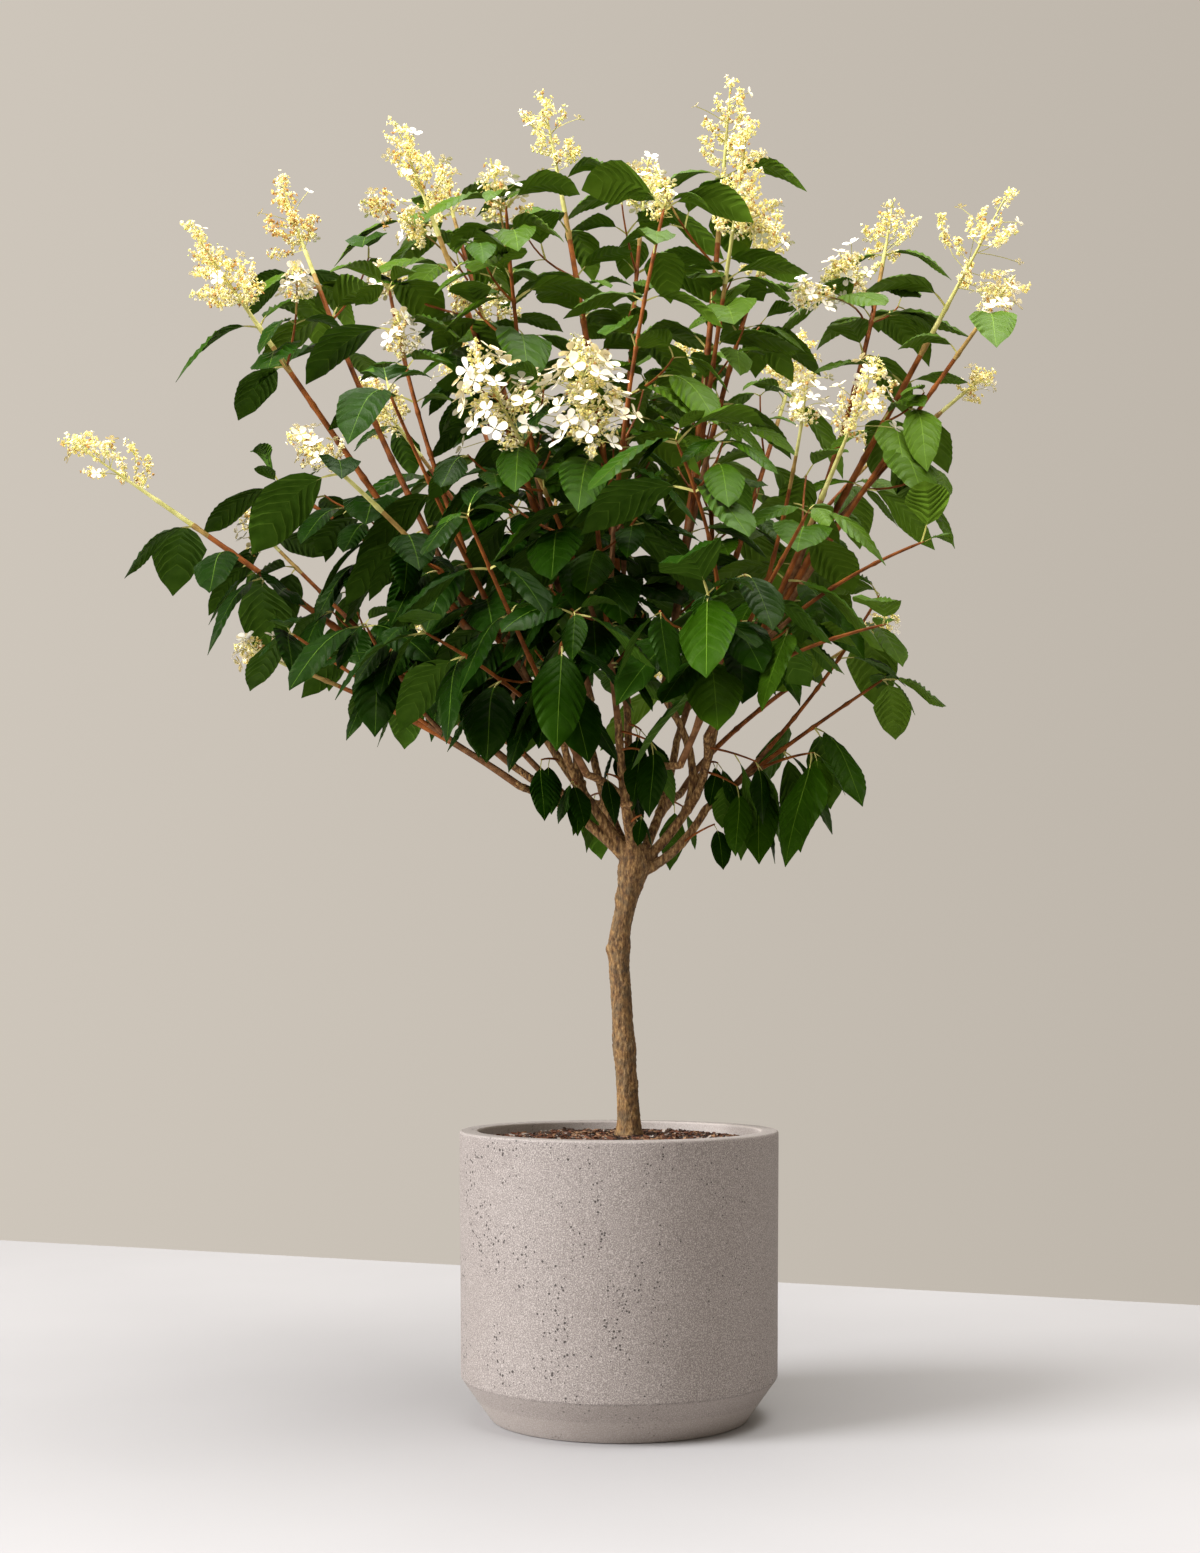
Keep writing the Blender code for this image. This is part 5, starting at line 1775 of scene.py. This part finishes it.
def bark():
    """Bark of an old hydrangea stem: it peels in thin long plates, so it is dull, tan where a plate
    has just come off, grey-brown where it is old, and near black in the furrows as painted shade. Above the
    knuckle it is lighter and more orange, partly as younger boughs and partly as painted light under the
    crown."""
    made, tree, surface, place = new_finish("hydrangea_bark", 0.86, 1.45)
    long = add_node(tree, "ShaderNodeMapping", {"Vector": place, "Scale": (1.0, 1.0, 0.34)}).outputs["Vector"]
    plates = add_node(tree, "ShaderNodeTexNoise", {
        "Vector": long, "Scale": per_mm(3.2), "Detail": 6.0, "Roughness": 0.62})
    spots = add_node(tree, "ShaderNodeTexNoise", {"Vector": place, "Scale": per_mm(11), "Detail": 3.0})
    # Painted shade: each run's darkest stop falls where the bump below sinks, so the furrows are painted near
    # black.
    runs = (
        ((0.28, "#32210f"), (0.44, "#614426"), (0.58, "#86653b"), (0.74, "#ac8b59")),
        ((0.30, "#302215"), (0.55, "#6b5436"), (0.74, "#927955")),
        ((0.34, "#3a2410"), (0.50, "#80582f"), (0.64, "#c39a60")),
    )
    tan, grey, young_and_lit = [
        add_node(tree, "ShaderNodeValToRGB", {"Fac": plates.outputs["Fac"]}, stops).outputs["Color"]
        for stops in runs
    ]
    share = add_node(tree, "ShaderNodeMapRange", {
        "Value": spots.outputs["Fac"], "From Min": 0.42, "From Max": 0.62})
    mixed = add_node(tree, "ShaderNodeMix", {0: share.outputs["Result"], 6: tan, 7: grey}, data_type="RGBA")
    # Painted light: above the knuckle the bark is painted lighter and more orange, partly as younger bark and
    # partly as painted light against the crown's shade.
    rise = add_node(tree, "ShaderNodeSeparateXYZ", {"Vector": place}).outputs["Z"]
    share = add_node(tree, "ShaderNodeMapRange", {
        "Value": rise, "From Min": HEAD.z - 0.02, "From Max": HEAD.z + 0.05, "To Max": 0.80})
    aged_and_lit_bark = add_node(tree, "ShaderNodeMix", {
        0: share.outputs["Result"], 6: mixed.outputs[2], 7: young_and_lit}, data_type="RGBA")
    tree.links.new(aged_and_lit_bark.outputs[2], surface.inputs["Base Color"])
    fine = add_node(tree, "ShaderNodeTexNoise", {"Vector": long, "Scale": per_mm(1.6), "Detail": 4.0})
    height = add_node(tree, "ShaderNodeMath", {
        0: plates.outputs["Fac"], 1: fine.outputs["Fac"]}, operation="ADD")
    bump = add_node(tree, "ShaderNodeBump", {
        "Height": height.outputs[0], "Strength": 0.8, "Distance": 0.9 * MM})
    tree.links.new(bump.outputs["Normal"], surface.inputs["Normal"])
    return made


def peat():
    """Peat and composted bark: nearly black, crumbly and without shine."""
    made, tree, surface, place = new_finish("peat_and_fine_bark", 0.95, 1.4)
    crumbs = add_node(tree, "ShaderNodeTexVoronoi", {"Vector": place, "Scale": per_mm(3.2)})
    stops = (0.15, "#100a07"), (0.55, "#21150f"), (0.92, "#3e2b1e")
    tint = add_node(tree, "ShaderNodeValToRGB", {"Fac": crumbs.outputs["Color"]}, stops).outputs["Color"]
    tree.links.new(tint, surface.inputs["Base Color"])
    rough = add_node(tree, "ShaderNodeTexNoise", {"Vector": place, "Scale": per_mm(2.0), "Detail": 5.0})
    bump = add_node(tree, "ShaderNodeBump", {
        "Height": rough.outputs["Fac"], "Strength": 1.0, "Distance": 2.0 * MM})
    tree.links.new(bump.outputs["Normal"], surface.inputs["Normal"])
    return made


def cement():
    """Fibre cement, cast in a mould, rubbed down and sealed: a flat warm grey with a sandy grain and small
    air pits from the mould that lie in drifts, painted dark as painted shade in them. A paler band at the lip
    is a painted highlight, and the foot and the inside are painted paler as painted light: floor bounce and
    fill."""
    made, tree, surface, place = new_finish("fibre_cement", 0.72, 1.5)
    grain = add_node(tree, "ShaderNodeTexNoise", {"Vector": place, "Scale": per_mm(1.25), "Detail": 3.0})
    cloud = add_node(tree, "ShaderNodeTexNoise", {"Vector": place, "Scale": per_mm(70), "Detail": 3.0})
    stops = (0.33, "#544d48"), (0.5, "#827974"), (0.67, "#b5ada6")
    sand = add_node(tree, "ShaderNodeValToRGB", {"Fac": grain.outputs["Fac"]}, stops).outputs["Color"]
    stops = (0.3, "#7e746f"), (0.7, "#877e79")
    haze = add_node(tree, "ShaderNodeValToRGB", {"Fac": cloud.outputs["Fac"]}, stops).outputs["Color"]
    body = add_node(tree, "ShaderNodeMix", {0: 0.35, 6: sand, 7: haze}, data_type="RGBA")
    cells = add_node(tree, "ShaderNodeTexVoronoi", {"Vector": place, "Scale": per_mm(3.4), "Randomness": 1.0})
    drift = add_node(tree, "ShaderNodeTexNoise", {"Vector": place, "Scale": per_mm(60), "Detail": 2.0})
    thick = add_node(tree, "ShaderNodeMapRange", {
        "Value": drift.outputs["Fac"], "From Min": 0.38, "From Max": 0.54})
    size = add_node(tree, "ShaderNodeMapRange", {
        "Value": cells.outputs["Color"], "From Min": 0.58, "From Max": 0.84, "To Min": 0.0, "To Max": 0.50})
    chosen = add_node(tree, "ShaderNodeMath", {
        0: thick.outputs["Result"], 1: size.outputs["Result"]}, operation="MULTIPLY")
    split = add_node(tree, "ShaderNodeSeparateXYZ", {"Vector": place})
    height = split.outputs["Z"]
    rough = add_node(tree, "ShaderNodeMapRange", {
        "Value": split.outputs["X"], "From Min": 0.06, "From Max": -0.10, "To Min": 0.62})
    chosen = add_node(tree, "ShaderNodeMath", {
        0: chosen.outputs[0], 1: rough.outputs["Result"]}, operation="MULTIPLY")
    depth = add_node(tree, "ShaderNodeMath", {
        0: chosen.outputs[0], 1: cells.outputs["Distance"]}, operation="SUBTRACT")
    pit = add_node(tree, "ShaderNodeMapRange", {"Value": depth.outputs[0], "From Min": 0.0, "From Max": 0.05})
    # Painted shade: the pits are painted dark, in place of the shade inside them. Their relief is the bump
    # below.
    painted_pit_shade = add_node(tree, "ShaderNodeMix", {
        0: pit.outputs["Result"], 6: body.outputs[2], 7: linear("#3c3531")}, data_type="RGBA")
    # Painted highlight: a paler band painted all round the top of the lip, where light catches the rounded
    # edge.
    lip = add_node(tree, "ShaderNodeMapRange", {
        "Value": height, "From Min": POT_HEIGHT - 0.0035, "From Max": POT_HEIGHT - 0.0008, "To Max": 0.40})
    rubbed = add_node(tree, "ShaderNodeMix", {
        0: lip.outputs["Result"], 6: painted_pit_shade.outputs[2], 7: linear("#aaa29c")}, data_type="RGBA")
    # Painted light: the foot's bevel is painted paler in place of the floor's bounce, and the inside of the
    # wall paler in place of fill on its shade. bare takes the larger of the two.
    foot = add_node(tree, "ShaderNodeMapRange", {
        "Value": height, "To Max": 0.30,
        "From Min": POT_SHOULDER_HEIGHT, "From Max": POT_SHOULDER_HEIGHT - 0.002})
    level = add_node(tree, "ShaderNodeVectorMath", {0: place, 1: (1.0, 1.0, 0.0)}, operation="MULTIPLY")
    away = add_node(tree, "ShaderNodeVectorMath", {0: level.outputs["Vector"]}, operation="LENGTH")
    inner = add_node(tree, "ShaderNodeMapRange", {
        "Value": away.outputs["Value"], "To Max": 0.45,
        "From Min": MIX_RADIUS + 0.006, "From Max": MIX_RADIUS + 0.002})
    bare = add_node(tree, "ShaderNodeMath", {
        0: foot.outputs["Result"], 1: inner.outputs["Result"]}, operation="MAXIMUM")
    painted_light_foot_and_inside = add_node(tree, "ShaderNodeMix", {
        0: bare.outputs[0], 6: rubbed.outputs[2], 7: linear("#b9aea6")}, data_type="RGBA")
    tree.links.new(painted_light_foot_and_inside.outputs[2], surface.inputs["Base Color"])
    sandy = add_node(tree, "ShaderNodeBump", {
        "Height": grain.outputs["Fac"], "Strength": 0.35, "Distance": 0.25 * MM})
    sunk = add_node(tree, "ShaderNodeBump", {
        "Height": pit.outputs["Result"], "Strength": 1.0, "Distance": 0.9 * MM,
        "Normal": sandy.outputs["Normal"]}, invert=True)
    tree.links.new(sunk.outputs["Normal"], surface.inputs["Normal"])
    return made


def floor_finish():
    """Painted board: nearly white, matt, with a very faint unevenness."""
    made, tree, surface, place = new_finish("painted_board", 0.6, 1.45)
    cloud = add_node(tree, "ShaderNodeTexNoise", {"Vector": place, "Scale": per_mm(400), "Detail": 2.0})
    stops = (0.3, "#9d9b9b"), (0.7, "#a09e9e")
    tint = add_node(tree, "ShaderNodeValToRGB", {"Fac": cloud.outputs["Fac"]}, stops).outputs["Color"]
    tree.links.new(tint, surface.inputs["Base Color"])
    return made


# The plant, put together

# The coarse limbs and shoots: every so many of their points, their sides, and the room round a shoot
LIMB_SKIP = 6
SHOOT_SKIP = 5
COARSE_SIDES = (5, 3)
SHOOT_SPACE = 0.003


def limb_space():
    """The limbs, shoots and panicles as coarse bodies, which the leaves keep clear of."""
    heap = Heap()
    for path, radii in limb_lines():
        points, thick = path[::LIMB_SKIP] + path[-1:], radii[::LIMB_SKIP] + radii[-1:]
        heap.add(*tube(points, thick, COARSE_SIDES[0]), 0)
    for name, mass in CROWN.items():
        for shoot, path in zip(mass.shoots, shoot_paths(name)):
            points = path[::SHOOT_SKIP] + path[-1:]
            heap.add(*tube(points, [SHOOT_SPACE] * len(points), COARSE_SIDES[1]), 0)
            if shoot.bloom:
                heap.add(*bloom_cone(path, shoot.bloom), 0)
    return BVHTree.FromPolygons([Vector(point) for point in np.concatenate(heap.points)], heap.faces)


def make_side(side, grown):
    """The leaves, the shoots and the blossom of one side of the crown, as one piece each."""
    leaves, shoots, blossom = Heap(), Heap(), Heap()
    for name in SIDES[side]:
        for number, path, nodes, end in grown[name][0]:
            draw_shoot(shoots, name, number, path, nodes, end)
            bloom = CROWN[name].shoots[number].bloom
            if bloom:
                style = STYLES[BLOOM_STYLES.get((name, number), "cream")]
                draw_panicle(shoots, blossom, path, bloom, style, name + str(number))
        for twig in grown[name][1]:
            draw_twig(shoots, twig)
            if twig.bloom:
                style, seed = STYLES[twig.style], str(twig.path[-1])
                draw_panicle(shoots, blossom, twig.path, twig.bloom, style, seed)
        draw_leaves(leaves, grown[name][2])
    heaps = {"leaves": leaves, "shoots": shoots, "blossom": blossom}
    return [(f"{kind}_{side}", kind, heap) for kind, heap in heaps.items()]


def make_crown():
    """The crown's pieces, which stand for the masses of the solids."""
    canopy = Canopy([limb_space()])
    grown = {name: grow_mass(name, canopy) for name in CROWN}
    finishes = {"leaves": leaf_finishes(), "shoots": shoot_finishes(), "blossom": blossom_finishes()}
    made = []
    for side, names in SIDES.items():
        for title, kind, heap in make_side(side, grown):
            piece = heap.piece(title, finishes[kind])
            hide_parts(*("foliage_" + name for name in names))
            made.append(piece)
    return made


def make_stage():
    """A plain pale floor, whose far edge runs askew behind the pot."""
    left, right = FLOOR_EDGE
    slope = (right[1] - left[1]) / (right[0] - left[0])
    corners = [(x, left[1] + slope * (x - left[0])) for x in (-FLOOR_SPAN, FLOOR_SPAN)]
    corners += [(FLOOR_SPAN, -FLOOR_SPAN), (-FLOOR_SPAN, -FLOOR_SPAN)]
    heap = Heap()
    points = [(x, y, -drop) for drop in (FLOOR_GAP, FLOOR_THICKNESS) for x, y in corners]
    heap.add(points, BOX_FACES, 0)
    floor = heap.piece("floor", [floor_finish()])
    floor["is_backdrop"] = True


def make_camera():
    """The camera, where the photo's stood."""
    camera = bpy.data.objects.new("camera", bpy.data.cameras.new("camera"))
    bpy.context.scene.collection.objects.link(camera)
    camera.location = CAMERA_PLACE
    camera.rotation_euler = (math.pi / 2 + CAMERA_TILT, 0, 0)
    camera.data.lens = CAMERA_LENS
    camera.data.sensor_width = CAMERA_SENSOR
    camera.data.clip_end = CAMERA_CLIP_END
    bpy.context.scene.camera = camera


def area_light(name, place, target, size, power, colour=(1.0, 1.0, 1.0)):
    """A round soft lamp."""
    light = bpy.data.lights.new(name, "AREA")
    light.color = colour
    light.shape = "DISK"
    light.size = size
    light.energy = power
    lamp = bpy.data.objects.new(name, light)
    bpy.context.scene.collection.objects.link(lamp)
    lamp.location = place
    lamp.rotation_euler = (Vector(target) - Vector(place)).to_track_quat("-Z", "Y").to_euler()


def make_light():
    """A big soft lamp on the left, a wide one overhead, and a room of an even warm grey, a little
    darker towards the right."""
    place = KEY_AIM + direction(*KEY_WAY) * KEY_DISTANCE
    area_light("key", place, KEY_AIM, KEY_SIZE, KEY_POWER, KEY_COLOUR)
    area_light("top", TOP_PLACE, TOP_AIM, TOP_SIZE, TOP_POWER)
    world = bpy.data.worlds.new("room")
    world.use_nodes = True
    bpy.context.scene.world = world
    tree = world.node_tree
    spot = add_node(tree, "ShaderNodeTexCoord").outputs["Generated"]
    sideways = add_node(tree, "ShaderNodeSeparateXYZ", {"Vector": spot}).outputs["X"]
    share = add_node(tree, "ShaderNodeMapRange", {
        "Value": sideways, "From Min": -ROOM_SPAN, "From Max": ROOM_SPAN}).outputs["Result"]
    wall = add_node(tree, "ShaderNodeValToRGB", {"Fac": share}, ROOM_TINTS).outputs["Color"]
    tree.links.new(wall, tree.nodes["Background"].inputs["Color"])
    bpy.context.scene.view_settings.view_transform = "Standard"


def main():
    """Builds everything, hangs each piece on the root body, and works out both boxes."""
    make_camera()
    make_light()
    make_stage()
    pieces = make_crown()
    limbs = make_limbs()
    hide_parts("trunk", *("bough_" + name for name in CROWN))
    pot = make_pot()
    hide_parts("pot")
    mix = make_potting_mix()
    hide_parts("potting_mix")
    chips = make_chips()
    for piece in [*pieces, limbs, pot, mix, chips]:
        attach(piece, "root")
    boxes = {"cad": CAD_BOX, "visual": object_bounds()}
    {name: [list(corner) for corner in box] for name, box in boxes.items()}


main()
